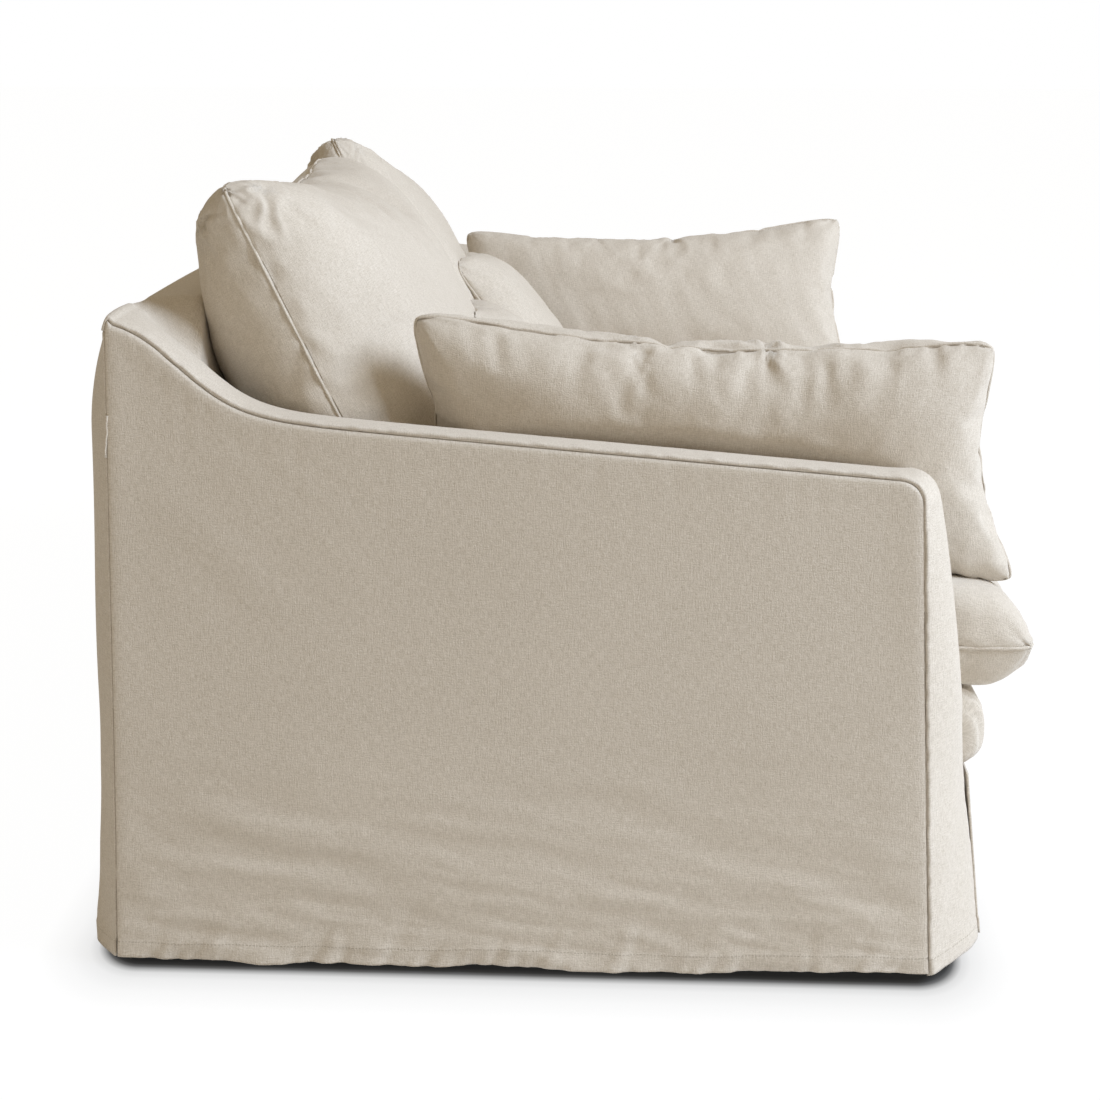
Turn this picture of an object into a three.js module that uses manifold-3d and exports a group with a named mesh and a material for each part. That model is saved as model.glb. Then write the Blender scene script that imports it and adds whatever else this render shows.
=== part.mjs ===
// Loose-covered sofa with sloping arms. Millimetres, +Z up.
// -Y is the front, and -X is the sitter's right-hand side.
// While it is built, y = 0 is the seam between side and back, and z = 0 the floor.

import * as THREE from 'three';
import { mergeVertices } from 'three/addons/utils/BufferGeometryUtils.js';
import Module from 'manifold-3d';

const wasm = await Module();
wasm.setup();

// Driving sizes of the covered body
const bodyWidth = 2050;
const backHeight = 790;
const armFrontHeight = 618;
const armThickness = 125;
const frontSeamDepth = 967;
const armCornerLength = 37;
const hemHeight = 12;
const deckHeight = 325;
const deckPadDepth = 26;
const cloth = 3;
const gap = 0.3;

// The arm's top line: an even slope, then a shoulder that rises into the back
const armSlopeRise = 73;
const shoulderStart = 231;
const shoulderEnd = 12;
const rearRound = 26;
const rearDrop = 20;
const frontSeamFlare = 23;
const frontCornerDrop = 38;

// How far the covers swell out from their seams
const bandTopCrown = 12;
const bandInnerDrop = 14;
const bandDropRun = 12;
const bandCornerCrown = 26;
const bandFrontCrown = 48;
const bandHemCrown = 69;
const bandCloseFoot = 180;
const bandCloseTop = 430;
const sideFlare = 10;
const sideFold = 3;
const sideFoldPitch = 310;
const sideFoldReach = 330;
const backCrown = 24;
const backHemCrown = 38;
const backCornerWidth = 75;

// Front roll and skirt
const rollBottom = 221;
const rollFootAhead = 85;
const rollOverhang = 12;
const rollBackAhead = 18;
const skirtFlare = 14;
const skirtFold = 4;
const skirtFoldPitch = 260;
const rollRound = 22;
const pleatWidth = 70;
const pleatClear = 1;
const pleatOver = 2;

// Inside back
const insideBackTop = 88;
const insideBackFoot = 150;
const topRound = 14;

// Wooden frame
const legHeight = 100;
const legSize = 55;
const glideHeight = 5;
const glideRadius = 15;
const frameFloor = 150;
const railThickness = 32;
const postDepth = 40;
const frontPostDepth = 32;
const backFrameFront = 60;
const frontRailAhead = 58;
const boardThickness = 5;
const boardSetback = 10;
const armPadDepth = 24;
const armPadInset = 6;
const armRailDrop = 42;
const armRailHeight = 50;
const armRailWidth = 60;
const backRailHeight = 55;
const backPostTop = 742;
const cornerBlockSize = 90;
const cornerBlockHeight = 70;
const stileWidth = 60;
const postClear = 2;
const padClear = 6;
const deckClear = 4;

// Suspension
const strapWidth = 50;
const strapThickness = 2;
const seatStrapRows = 5;
const seatStrapColumns = 9;
const backStrapRows = 3;
const backStrapColumns = 9;

// Cushions
const seatCushionTop = 460;
const seatOverhang = 54;
const seatSeamShare = 0.42;
const cushionGap = 3;
const backCushionHeight = 575;
const backCushionRear = 125;
const rightBackFront = 135;
const leftBackFront = 96;
const backCushionLean = 22;
const armPillowLength = 715;
const armPillowHeight = 318;
const armPillowThickness = 150;
const armPillowLean = 11;
const lumbarWidth = 520;
const lumbarHeight = 345;
const lumbarThickness = 140;
const lumbarLean = 36;
const drawnInShare = 0.045;
const seatDrawnInShare = 0.012;
const seatOverfillShare = 1.25;
const pressClear = 3;
const pillowClear = 3;
const pillowOverhangShare = 0.3;
const rightBackMiddle = 672;
const leftBackMiddle = 649;
const rightBackDepth = 218;
const rightBackTurn = 2.5;
const rightBackRoll = 1;
const leftBackDepth = 206;
const leftBackTurn = 9;
const leftBackRoll = 6;
const pillowFrontShare = 0.55;
const rightPillowMiddle = 722;
const rightPillowCentre = 600;
const rightPillowRoll = 2;
const rightPillowShearShare = 0.12;
const leftPillowMiddle = 658;
const leftPillowCentre = 578;
const leftPillowRoll = 2;
const armPillowInset = 78;
const rightLumbarDepth = 445;
const lumbarTurn = 8;
const leftLumbarInset = 490;
const lumbarSpacing = 550;
const leftLumbarDepth = 350;
const lumbarMiddle = 592;

// How finely the seam is followed, segment by segment
const slopeSteps = 24;
const slopeCrowding = 1.3;
const seamRowCounts = [2, 16, 4, 9];

const backCrowding = 2.2;
const insideBackCounts = [2, 1, 3, 4];
const rollCounts = [1, 4, 4];
const glideSides = 12;

const halfWidth = bodyWidth / 2;
const innerHalf = halfWidth - armThickness;
const shoulderRise = backHeight - armFrontHeight - armSlopeRise;
const webTop = deckHeight - cloth - gap;
const armRunEnd = frontSeamDepth - armCornerLength;
const frontRailFace = frontSeamDepth + frontRailAhead;
const rollBack = frontSeamDepth + rollBackAhead;
const rollFoot = frontSeamDepth + rollFootAhead;
const rollFront = rollFoot + rollOverhang;
const seatCushionFront = rollFront + seatOverhang;
const railTop = webTop - deckPadDepth - gap - strapThickness - gap;

const linen = new THREE.MeshStandardMaterial({ color: 0xbdb2a3, roughness: 0.9, metalness: 0 });
const linenCushion = new THREE.MeshStandardMaterial({ color: 0xc4b9aa, roughness: 0.92, metalness: 0 });
const timber = new THREE.MeshStandardMaterial({ color: 0xb08a5c, roughness: 0.7, metalness: 0 });
const darkTimber = new THREE.MeshStandardMaterial({ color: 0x4c3a2b, roughness: 0.6, metalness: 0 });
const foam = new THREE.MeshStandardMaterial({ color: 0xe6dfc9, roughness: 1, metalness: 0 });
const board = new THREE.MeshStandardMaterial({ color: 0x9b8265, roughness: 0.95, metalness: 0 });
const jute = new THREE.MeshStandardMaterial({ color: 0x3a3632, roughness: 0.95, metalness: 0 });
const glideFelt = new THREE.MeshStandardMaterial({ color: 0x2b2a29, roughness: 0.8, metalness: 0 });

const sofa = new THREE.Group();
sofa.name = 'sofa';

function smooth(value) {
  const t = Math.min(1, Math.max(0, value));
  return t * t * (3 - 2 * t);
}

function blend(a, b, t) {
  return a + (b - a) * t;
}

function bump(value) {
  return Math.sin(Math.PI * Math.min(1, Math.max(0, value)));
}

function addNode(name, geometry, material) {
  const mesh = new THREE.Mesh(geometry, material);
  mesh.name = name;
  sofa.add(mesh);
  return mesh;
}

// Six times the volume that the triangles close in, positive when they face outwards
function closedVolume(positions, triangles) {
  const [a, b, c] = [new THREE.Vector3(), new THREE.Vector3(), new THREE.Vector3()];
  let sum = 0;
  for (let i = 0; i < triangles.length; i += 3) {
    a.fromArray(positions, 3 * triangles[i]);
    b.fromArray(positions, 3 * triangles[i + 1]);
    c.fromArray(positions, 3 * triangles[i + 2]);
    sum += a.dot(b.cross(c));
  }
  return sum;
}

function solidFrom(positions, triangles) {
  if (closedVolume(positions, triangles) < 0) {
    for (let i = 0; i < triangles.length; i += 3) {
      [triangles[i + 1], triangles[i + 2]] = [triangles[i + 2], triangles[i + 1]];
    }
  }
  const geometry = new THREE.BufferGeometry();
  geometry.setAttribute('position', new THREE.Float32BufferAttribute(positions, 3));
  geometry.setIndex(triangles);
  return geometry;
}

function gridFaces(triangles, index, columns, rows, flip) {
  for (let j = 0; j < rows; j += 1) {
    for (let i = 0; i < columns; i += 1) {
      const corners = [index(i, j), index(i + 1, j), index(i + 1, j + 1), index(i, j + 1)];
      if (flip) corners.reverse();
      triangles.push(corners[0], corners[1], corners[2], corners[0], corners[2], corners[3]);
    }
  }
}

// A sheet with a face, a lining behind it and a closed edge all round
function sheetSolid(columns, rows, face, lining) {
  const positions = [];
  const triangles = [];
  const width = columns + 1;
  const layer = width * (rows + 1);
  for (const side of [face, lining]) {
    for (let j = 0; j <= rows; j += 1) {
      for (let i = 0; i <= columns; i += 1) positions.push(...side(i / columns, j / rows));
    }
  }
  gridFaces(triangles, (i, j) => j * width + i, columns, rows, false);
  gridFaces(triangles, (i, j) => layer + j * width + i, columns, rows, true);
  const rim = [];
  for (let i = 0; i < columns; i += 1) rim.push(i);
  for (let j = 0; j < rows; j += 1) rim.push(j * width + columns);
  for (let i = columns; i > 0; i -= 1) rim.push(rows * width + i);
  for (let j = rows; j > 0; j -= 1) rim.push(j * width);
  rim.forEach((near, k) => {
    const next = rim[(k + 1) % rim.length];
    triangles.push(next, near, layer + near, next, layer + near, layer + next);
  });
  return solidFrom(positions, triangles);
}

// Two faces that share one seam all round, as a knife-edge cushion's do
function seamedSolid(columns, rows, front, back) {
  const positions = [];
  const triangles = [];
  const frontIndex = [];
  const backIndex = [];
  for (let j = 0; j <= rows; j += 1) {
    for (let i = 0; i <= columns; i += 1) {
      const onSeam = i === 0 || j === 0 || i === columns || j === rows;
      frontIndex.push(positions.length / 3);
      positions.push(...front(2 * i / columns - 1, 2 * j / rows - 1));
      if (onSeam) {
        backIndex.push(frontIndex.at(-1));
      } else {
        backIndex.push(positions.length / 3);
        positions.push(...back(2 * i / columns - 1, 2 * j / rows - 1));
      }
    }
  }
  gridFaces(triangles, (i, j) => frontIndex[j * (columns + 1) + i], columns, rows, false);
  gridFaces(triangles, (i, j) => backIndex[j * (columns + 1) + i], columns, rows, true);
  return solidFrom(positions, triangles);
}

function boxBetween(low, high) {
  const geometry = new THREE.BoxGeometry(high[0] - low[0], high[1] - low[1], high[2] - low[2]);
  geometry.translate((low[0] + high[0]) / 2, (low[1] + high[1]) / 2, (low[2] + high[2]) / 2);
  return geometry;
}

// An outline of [y, z] points, extruded along X from one side to the other
function extrudeAlongX(outline, fromX, toX) {
  const shape = new THREE.Shape(outline.map(([y, z]) => new THREE.Vector2(y, z)));
  const geometry = new THREE.ExtrudeGeometry(shape, { depth: toX - fromX, bevelEnabled: false });
  const basis = new THREE.Matrix4().makeBasis(
    new THREE.Vector3(0, 1, 0), new THREE.Vector3(0, 0, 1), new THREE.Vector3(1, 0, 0));
  geometry.applyMatrix4(basis);
  geometry.translate(fromX, 0, 0);
  return geometry;
}

function toManifold(geometry) {
  const bare = geometry.clone();
  bare.deleteAttribute('normal');
  bare.deleteAttribute('uv');
  const merged = mergeVertices(bare);
  return new wasm.Manifold(new wasm.Mesh({
    numProp: 3,
    vertProperties: new Float32Array(merged.attributes.position.array),
    triVerts: new Uint32Array(merged.index.array),
  }));
}

function fromManifold(manifold) {
  const mesh = manifold.getMesh();
  const geometry = new THREE.BufferGeometry();
  geometry.setAttribute('position', new THREE.BufferAttribute(mesh.vertProperties, 3));
  geometry.setIndex(new THREE.BufferAttribute(mesh.triVerts, 1));
  return geometry;
}

function joined(geometries) {
  return fromManifold(geometries.map(toManifold).reduce((whole, next) => whole.add(next)));
}

// Shape of the covered body

// Height of the arm's outer seam at a depth, measured forward from the back seam
function armLine(depth) {
  const along = (armRunEnd - depth) / (armRunEnd - rearRound);
  const shoulder = (shoulderStart - depth) / (shoulderStart - shoulderEnd);
  return armFrontHeight + armSlopeRise * along + shoulderRise * smooth(shoulder);
}

function sideX(height) {
  return halfWidth + sideFlare * Math.max(0, 1 - height / sideFoldReach) ** 2;
}

// The seam that runs round the arm: rear corner, slope, front corner, then down to the hem
const armSeam = new THREE.Path();
armSeam.moveTo(-gap, backHeight - rearDrop);
armSeam.quadraticCurveTo(-gap, backHeight, -rearRound, armLine(rearRound));
const slopePoints = [];
for (let i = 1; i <= slopeSteps; i += 1) {
  const depth = blend(rearRound, armRunEnd, (i / slopeSteps) ** slopeCrowding);
  slopePoints.push(new THREE.Vector2(-depth, armLine(depth)));
}
armSeam.splineThru(slopePoints);
armSeam.quadraticCurveTo(-frontSeamDepth, armFrontHeight, -frontSeamDepth, armFrontHeight - frontCornerDrop);
armSeam.lineTo(-frontSeamDepth - frontSeamFlare, hemHeight);

// Places along that seam, down to a foot height, each with its outward direction
function seamFrames(foot) {
  const frames = [];
  armSeam.curves.forEach((curve, k) => {
    const crowding = k === 1 ? slopeCrowding : 1;
    for (let i = k === 0 ? 0 : 1; i <= seamRowCounts[k]; i += 1) {
      const u = (i / seamRowCounts[k]) ** crowding;
      const point = curve.getPointAt(u);
      const tangent = curve.getTangentAt(u);
      frames.push({ y: point.x, z: point.y, normalY: tangent.y, normalZ: -tangent.x });
    }
  });
  const kept = frames.filter((frame) => frame.z > foot + gap);
  const [above, below] = [kept.at(-1), frames[kept.length]];
  const share = (above.z - foot) / (above.z - below.z);
  kept.push({ ...below, y: blend(above.y, below.y, share), z: foot });
  return kept;
}

// Swell of the arm band from its outer seam (across = 0) to its inner one (across = 1)
function bandSwell(frame, across) {
  const down = smooth((armFrontHeight - frame.z) / (armFrontHeight - deckHeight));
  const toHem = smooth((deckHeight - frame.z) / (deckHeight - hemHeight));
  const front = blend(blend(bandCornerCrown, bandFrontCrown, down), bandHemCrown, toHem);
  const height = blend(bandTopCrown, front, smooth(-frame.normalY));
  const closes = smooth((frame.z - bandCloseFoot) / (bandCloseTop - bandCloseFoot));
  const pastCorner = smooth((-frame.y - rearRound) / bandDropRun);
  const drop = bandInnerDrop * smooth(frame.normalZ) * pastCorner;
  return height * Math.sin(Math.PI / 2 * (1 + closes) * across) - drop * across;
}

// A layer of the arm band, its face and back a given distance inside the cover's face
function bandLayer(side, foot, columns, inset, faceOffset, backOffset, flatBack) {
  const frames = seamFrames(foot);
  const rows = frames.length - 1;
  const point = (offset, swells) => (u, v) => {
    const frame = frames[Math.round(v * rows)];
    const edge = inset / (sideX(frame.z) - innerHalf);
    const across = Math.min(1 - edge, Math.max(edge, u));
    const out = (swells ? bandSwell(frame, across) : 0) - offset;
    const x = blend(sideX(frame.z), innerHalf, across);
    return [side * x, frame.y + frame.normalY * out, frame.z + frame.normalZ * out];
  };
  return sheetSolid(columns, rows, point(faceOffset, true), point(backOffset, !flatBack));
}

function frontSeamAt(height) {
  const down = (armFrontHeight - frontCornerDrop - height) / (armFrontHeight - frontCornerDrop - hemHeight);
  return frontSeamDepth + frontSeamFlare * Math.max(0, down);
}

// Depth of the arm band's inner edge, where the skirt and its pleat meet it
function bandInnerDepth(height) {
  const frame = { y: -frontSeamAt(height), z: height, normalY: -1, normalZ: 0 };
  return frontSeamAt(height) + bandSwell(frame, 1);
}

function insideBackDepth(height) {
  return insideBackTop + (insideBackFoot - insideBackTop) * (backHeight - height) / (backHeight - deckHeight);
}

// Soft diagonal folds, deepest at the hem and gone at the side seams
function sideFoldAt(depth, height) {
  const low = smooth((sideFoldReach - height) / sideFoldReach);
  const ends = bump(depth / frontSeamDepth) ** 0.5;
  return sideFold * low * ends * (1 + Math.sin(2 * Math.PI * (depth + height) / sideFoldPitch)) / 2;
}

// Top edge of a panel under the band: the seam's own points, set in from a starting depth
function panelTop(fromDepth, setIn) {
  const frames = seamFrames(hemHeight).slice(0, -seamRowCounts.at(-1));
  const edge = frames.map((frame) => [frame.y - frame.normalY * setIn, frame.z - frame.normalZ * setIn]);
  const first = edge.findIndex(([y]) => y < -fromDepth);
  if (first < 1) return edge;
  const [ay, az] = edge[first - 1];
  const [by, bz] = edge[first];
  return [[-fromDepth, blend(az, bz, (-fromDepth - ay) / (by - ay))], ...edge.slice(first)];
}

// Covers of the arms
const underBand = cloth + 2 * gap;
const sideTop = panelTop(0, underBand);
const sideColumns = sideTop.length - 1;
const insideTop = panelTop(insideBackTop + gap, underBand + bandInnerDrop);
const insideColumns = insideTop.length - 1;
for (const [word, side] of [['right', -1], ['left', 1]]) {
  const sidePoint = (inset) => (u, v) => {
    const [topY, topZ] = sideTop[Math.round(u * sideColumns)];
    const share = (-topY - underBand) / (frontSeamDepth - 2 * underBand);
    const foot = blend(underBand, frontSeamAt(hemHeight) - underBand, share);
    const depth = blend(foot, -topY, v);
    const height = blend(hemHeight, topZ, v);
    const out = sideX(height) + sideFoldAt(depth, height) - inset;
    return [side * out, -depth, height];
  };
  addNode(`outside_arm_${word}`, sheetSolid(sideColumns, 6, sidePoint(0), sidePoint(cloth)), linen);
  addNode(`arm_band_${word}`, bandLayer(side, hemHeight, 5, 0, 0, cloth, false), linen);
  addNode(`arm_pad_${word}`,
    bandLayer(side, legHeight, 5, armPadInset, cloth + padClear, cloth + gap + armPadDepth, true), foam);
  const insidePoint = (x) => (u, v) => {
    const [topY, topZ] = insideTop[Math.round(u * insideColumns)];
    const share = (-topY - insideBackTop) / (frontSeamDepth - insideBackTop);
    const foot = blend(insideBackFoot + gap, frontSeamAt(deckHeight) - underBand, share);
    return [side * x, blend(-foot, topY, v), blend(deckHeight + gap, topZ, v)];
  };
  addNode(`inside_arm_${word}`,
    sheetSolid(insideColumns, 2, insidePoint(innerHalf), insidePoint(innerHalf + cloth)), linen);
}

// Rounded rear corners: the back cover swells out from its side seams
function backSwell(x, height) {
  const crown = blend(backHemCrown, backCrown, smooth(height / sideFoldReach));
  const inward = (sideX(height) - Math.abs(x)) / backCornerWidth;
  const closes = smooth((backHeight - height) / (2 * rearDrop));
  return crown * closes * Math.sin(Math.PI / 2 * Math.min(1, inward));
}

const backPoint = (inset) => (u, v) => {
  const height = blend(hemHeight, backHeight - rearDrop - 2 * gap, v);
  const across = Math.sign(2 * u - 1) * (1 - (1 - Math.abs(2 * u - 1)) ** backCrowding);
  const x = across * sideX(height);
  return [x, backSwell(x, height) - inset, height];
};
addNode('outside_back', sheetSolid(16, 6, backPoint(0), backPoint(cloth)), linen);

// A cloth that follows a profile of [y, z] points between the arms
function profileSheet(profile, columns, lining) {
  const last = profile.length - 1;
  const at = (points) => (u, v) => {
    const [y, z] = points[Math.round(v * last)];
    return [blend(-innerHalf + gap, innerHalf - gap, u), y, z];
  };
  return sheetSolid(columns, last, at(profile), at(lining));
}

function offsetProfile(profile, distance) {
  return profile.map(([y, z], i) => {
    const [ay, az] = profile[Math.max(0, i - 1)];
    const [by, bz] = profile[Math.min(profile.length - 1, i + 1)];
    const length = Math.hypot(by - ay, bz - az);
    return [y + (bz - az) / length * distance, z - (by - ay) / length * distance];
  });
}

// Inside back, from the rear top edge over the top and down to the deck
const backTop = new THREE.Path();
backTop.moveTo(-gap, backHeight - rearDrop);
backTop.quadraticCurveTo(-gap, backHeight, -rearRound, backHeight);
backTop.lineTo(-insideBackTop + topRound, backHeight);
backTop.quadraticCurveTo(-insideBackTop, backHeight, -insideBackDepth(backHeight - topRound),
  backHeight - topRound);
backTop.lineTo(-insideBackFoot, deckHeight + gap);
const insideBack = backTop.curves.flatMap((curve, k) => curve.getPoints(insideBackCounts[k]).slice(k ? 1 : 0))
  .map((point) => [point.x, point.y]);
addNode('inside_back', profileSheet(insideBack, 4, offsetProfile(insideBack, -cloth)), linen);

// Seat deck, front roll and skirt
const deckLimit = innerHalf - gap;
const deckFoot = insideBackFoot + gap;
addNode('seat_deck_cover', boxBetween([-deckLimit, -rollBack + gap, deckHeight - cloth],
  [deckLimit, -deckFoot, deckHeight]), linen);
const roll = new THREE.Path();
const rollMiddle = (deckHeight + rollBottom) / 2;
roll.moveTo(-rollBack, deckHeight);
roll.lineTo(-rollFoot + rollRound, deckHeight);
roll.quadraticCurveTo(-rollFront, deckHeight, -rollFront, rollMiddle);
roll.quadraticCurveTo(-rollFront, rollBottom + rollRound, -rollFoot, rollBottom);
const rollProfile = roll.curves.flatMap((curve, k) => curve.getPoints(rollCounts[k]).slice(k ? 1 : 0))
  .map((point) => [point.x, point.y]);
addNode('front_roll_cover', profileSheet(rollProfile, 8, offsetProfile(rollProfile, -cloth)), linen);

const padFace = offsetProfile(rollProfile, -cloth - gap).filter(([y]) => y < -rollBack - gap);
const padBack = frontRailFace + gap;
const padFoot = padFace.at(-1)[1];
addNode('front_roll_pad', extrudeAlongX([...padFace, [-padBack, padFoot], [-padBack, railTop + gap],
  [padFace[0][0], railTop + gap]], -deckLimit, deckLimit), foam);

function skirtPoint(inset) {
  return (u, v) => {
    const height = blend(hemHeight, rollBottom - gap, v);
    const x = blend(-deckLimit, deckLimit, u);
    const low = 1 - v;
    const fold = skirtFold * low * Math.sin(2 * Math.PI * x / skirtFoldPitch) * (1 - Math.abs(x) / innerHalf);
    return [x, -(rollFoot + skirtFlare * low + fold - inset), height];
  };
}
addNode('front_skirt', sheetSolid(32, 4, skirtPoint(0), skirtPoint(cloth)), linen);

// Cloth folded in behind each front corner, where the skirt meets the arm band
for (const [word, side] of [['right', -1], ['left', 1]]) {
  const pleatPoint = (inset) => (u, v) => {
    const height = blend(hemHeight, rollBottom - gap, v);
    const x = innerHalf + pleatOver - pleatWidth * u;
    return [side * x, -(bandInnerDepth(height) - cloth - pleatClear - inset), height];
  };
  addNode(`corner_pleat_${word}`, sheetSolid(1, 4, pleatPoint(0), pleatPoint(cloth)), linen);
}

// Padding
addNode('deck_pad', boxBetween([-deckLimit, padFace[0][0] + gap, railTop + strapThickness + 2 * gap],
  [deckLimit, -deckFoot - deckClear, deckHeight - cloth - gap]), foam);
const backPadTop = backHeight - cloth - topRound;
addNode('back_pad', extrudeAlongX([
  [-backFrameFront - strapThickness - 2 * gap, backPadTop],
  [-insideBackDepth(backPadTop) + cloth + 2 * gap, backPadTop],
  [-insideBackFoot + cloth + 2 * gap, deckHeight + gap],
  [-backFrameFront - strapThickness - 2 * gap, deckHeight + gap],
], -deckLimit, deckLimit), foam);

// Wooden frame
const postOuter = halfWidth - boardSetback - boardThickness - gap;
const postInner = innerHalf + cloth + 2 * gap;
const seatSide = innerHalf + cloth + gap;
const frontPostFace = frontSeamDepth - cloth - armPadDepth - 2 * gap - postClear;
const frontPostBack = frontPostFace - frontPostDepth;
const backPostRear = backFrameFront - postDepth;
addNode('front_rail', boxBetween([-deckLimit, -frontRailFace, frameFloor],
  [deckLimit, -frontRailFace + railThickness, railTop]), timber);
addNode('back_rail', boxBetween([-seatSide, -backFrameFront, frameFloor],
  [seatSide, -backFrameFront + railThickness, railTop]), timber);
addNode('back_top_rail', boxBetween([-seatSide, -backFrameFront, backPostTop - backRailHeight],
  [seatSide, -backFrameFront + railThickness, backPostTop]), timber);
addNode('back_stile', boxBetween([-stileWidth / 2, -backFrameFront, railTop + gap],
  [stileWidth / 2, -backFrameFront + railThickness, backPostTop - backRailHeight - gap]), timber);
const railFront = frontRailFace - railThickness - gap;
const railRear = backFrameFront + gap;
addNode('centre_rail', boxBetween([-railThickness / 2, -railFront, frameFloor],
  [railThickness / 2, -railRear, railTop]), timber);

for (const [word, side] of [['right', -1], ['left', 1]]) {
  const between = (nearX, farX) => [Math.min(side * nearX, side * farX), Math.max(side * nearX, side * farX)];
  const [railLow, railHigh] = between(seatSide - railThickness, seatSide);
  addNode(`side_rail_${word}`, boxBetween([railLow, -railFront, frameFloor],
    [railHigh, -railRear, railTop]), timber);
  const [postLow, postHigh] = between(postInner, postOuter);
  const frontPostTop = armLine(frontPostFace) - armRailDrop - armRailHeight - gap;
  addNode(`front_post_${word}`, boxBetween([postLow, -frontPostFace, legHeight],
    [postHigh, -frontPostBack, frontPostTop]), timber);
  addNode(`back_post_${word}`, boxBetween([postLow, -backFrameFront, legHeight],
    [postHigh, -backPostRear, backPostTop]), timber);

  // The shaped rail runs under the arm's slope from the front post to the back post
  const railEnd = backFrameFront + gap;
  const upper = [];
  const lower = [];
  for (let i = 0; i <= slopeSteps; i += 1) {
    const depth = blend(railEnd, frontPostFace, (i / slopeSteps) ** slopeCrowding);
    upper.push([-depth, armLine(depth) - armRailDrop]);
    lower.unshift([-depth, armLine(depth) - armRailDrop - armRailHeight]);
  }
  const [armLow, armHigh] = between(postOuter - armRailWidth, postOuter);
  addNode(`arm_rail_${word}`, extrudeAlongX([...upper, ...lower], armLow, armHigh), timber);

  const boardTop = [];
  for (let i = 0; i <= slopeSteps; i += 1) {
    const depth = blend(backPostRear, frontPostFace, (i / slopeSteps) ** slopeCrowding);
    boardTop.push([-depth, armLine(depth) - armRailDrop]);
  }
  const [boardLow, boardHigh] = between(postOuter + gap, postOuter + gap + boardThickness);
  addNode(`arm_board_${word}`, extrudeAlongX([...boardTop, [-frontPostFace, legHeight],
    [-backPostRear, legHeight]], boardLow, boardHigh), board);

  const foamTop = [];
  for (let i = 0; i <= slopeSteps; i += 1) {
    const depth = blend(railEnd, frontPostBack - gap, (i / slopeSteps) ** slopeCrowding);
    foamTop.push([-depth, armLine(depth) - armRailDrop]);
  }
  const [foamLow, foamHigh] = between(postInner, postOuter - armRailWidth - gap);
  const foamFoot = railTop + strapThickness + 2 * gap;
  addNode(`arm_foam_${word}`, extrudeAlongX([...foamTop, [-frontPostBack + gap, foamFoot],
    [-railEnd, foamFoot]], foamLow, foamHigh), foam);

  // Corner blocks brace the seat frame's four corners
  for (const [place, cornerY, inward] of [['front', -railFront - gap, 1], ['back', -railRear + gap, -1]]) {
    const edge = seatSide - railThickness - gap;
    const start = cornerY + inward * 2 * gap;
    const shape = new THREE.Shape([
      new THREE.Vector2(side * edge, start),
      new THREE.Vector2(side * (edge - cornerBlockSize), start),
      new THREE.Vector2(side * edge, start + inward * cornerBlockSize),
    ]);
    const block = new THREE.ExtrudeGeometry(shape, { depth: cornerBlockHeight, bevelEnabled: false });
    block.translate(0, 0, railTop - cornerBlockHeight);
    addNode(`corner_block_${place}_${word}`, block, timber);
  }
}

addNode('back_board', boxBetween([-postOuter, -backPostRear + gap, legHeight],
  [postOuter, -backPostRear + gap + boardThickness, backPostTop]), board);

// Legs under the posts and under the middle of the centre rail, each on a round glide
const legX = (postOuter + postInner) / 2;
const frontLegY = -(frontPostFace + frontPostBack) / 2;
const backLegY = -(backFrameFront + backPostRear) / 2;
const legPlaces = [
  ['front_right', -legX, frontLegY, legHeight],
  ['front_left', legX, frontLegY, legHeight],
  ['back_right', -legX, backLegY, legHeight],
  ['back_left', legX, backLegY, legHeight],
  ['centre', 0, (frontLegY + backLegY) / 2, frameFloor],
];
for (const [place, x, y, top] of legPlaces) {
  addNode(`leg_${place}`, boxBetween([x - legSize / 2, y - legSize / 2, glideHeight],
    [x + legSize / 2, y + legSize / 2, top - gap]), darkTimber);
  const glide = new THREE.CylinderGeometry(glideRadius, glideRadius, glideHeight - gap, glideSides);
  glide.rotateX(Math.PI / 2);
  glide.translate(x, y, (glideHeight - gap) / 2);
  addNode(`glide_${place}`, glide, glideFelt);
}

// Webbing: one joined layer of straps under the seat, and one across the back frame
function strapGrid(low, high, rows, columns, makeBox) {
  const straps = [];
  const spread = (from, to, count, k) => blend(from, to - strapWidth, count === 1 ? 0.5 : k / (count - 1));
  for (let k = 0; k < rows; k += 1) {
    const start = spread(low[1], high[1], rows, k);
    straps.push(makeBox([low[0], start], [high[0], start + strapWidth]));
  }
  for (let k = 0; k < columns; k += 1) {
    const start = spread(low[0], high[0], columns, k);
    straps.push(makeBox([start, low[1]], [start + strapWidth, high[1]]));
  }
  return joined(straps);
}
addNode('seat_webbing', strapGrid([-deckLimit, -frontRailFace], [deckLimit, -backFrameFront - deckClear],
  seatStrapRows, seatStrapColumns, (low, high) => boxBetween([low[0], low[1], railTop + gap],
    [high[0], high[1], railTop + gap + strapThickness])), jute);
addNode('back_webbing', strapGrid([-deckLimit, deckHeight + gap], [deckLimit, backPostTop],
  backStrapRows, backStrapColumns, (low, high) => boxBetween(
    [low[0], -backFrameFront - gap - strapThickness, low[1]],
    [high[0], -backFrameFront - gap, high[1]])), jute);

// Loose cushions

// Local outline and swell of a knife-edge cushion: corners stand out, sides draw in
function cushionShape(spec, u, v) {
  const gathered = (w) => Math.sin(Math.PI / 2 * w);
  const [s, t] = [gathered(u), gathered(v)];
  const swell = Math.sqrt((1 - Math.abs(s) ** spec.boxiness) * (1 - Math.abs(t) ** spec.boxiness));
  return {
    along: spec.width / 2 * s * (1 - spec.drawnIn * (1 - t * t)),
    up: spec.height / 2 * t * (1 - spec.drawnIn * (1 - s * s)),
    swell,
  };
}

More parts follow.
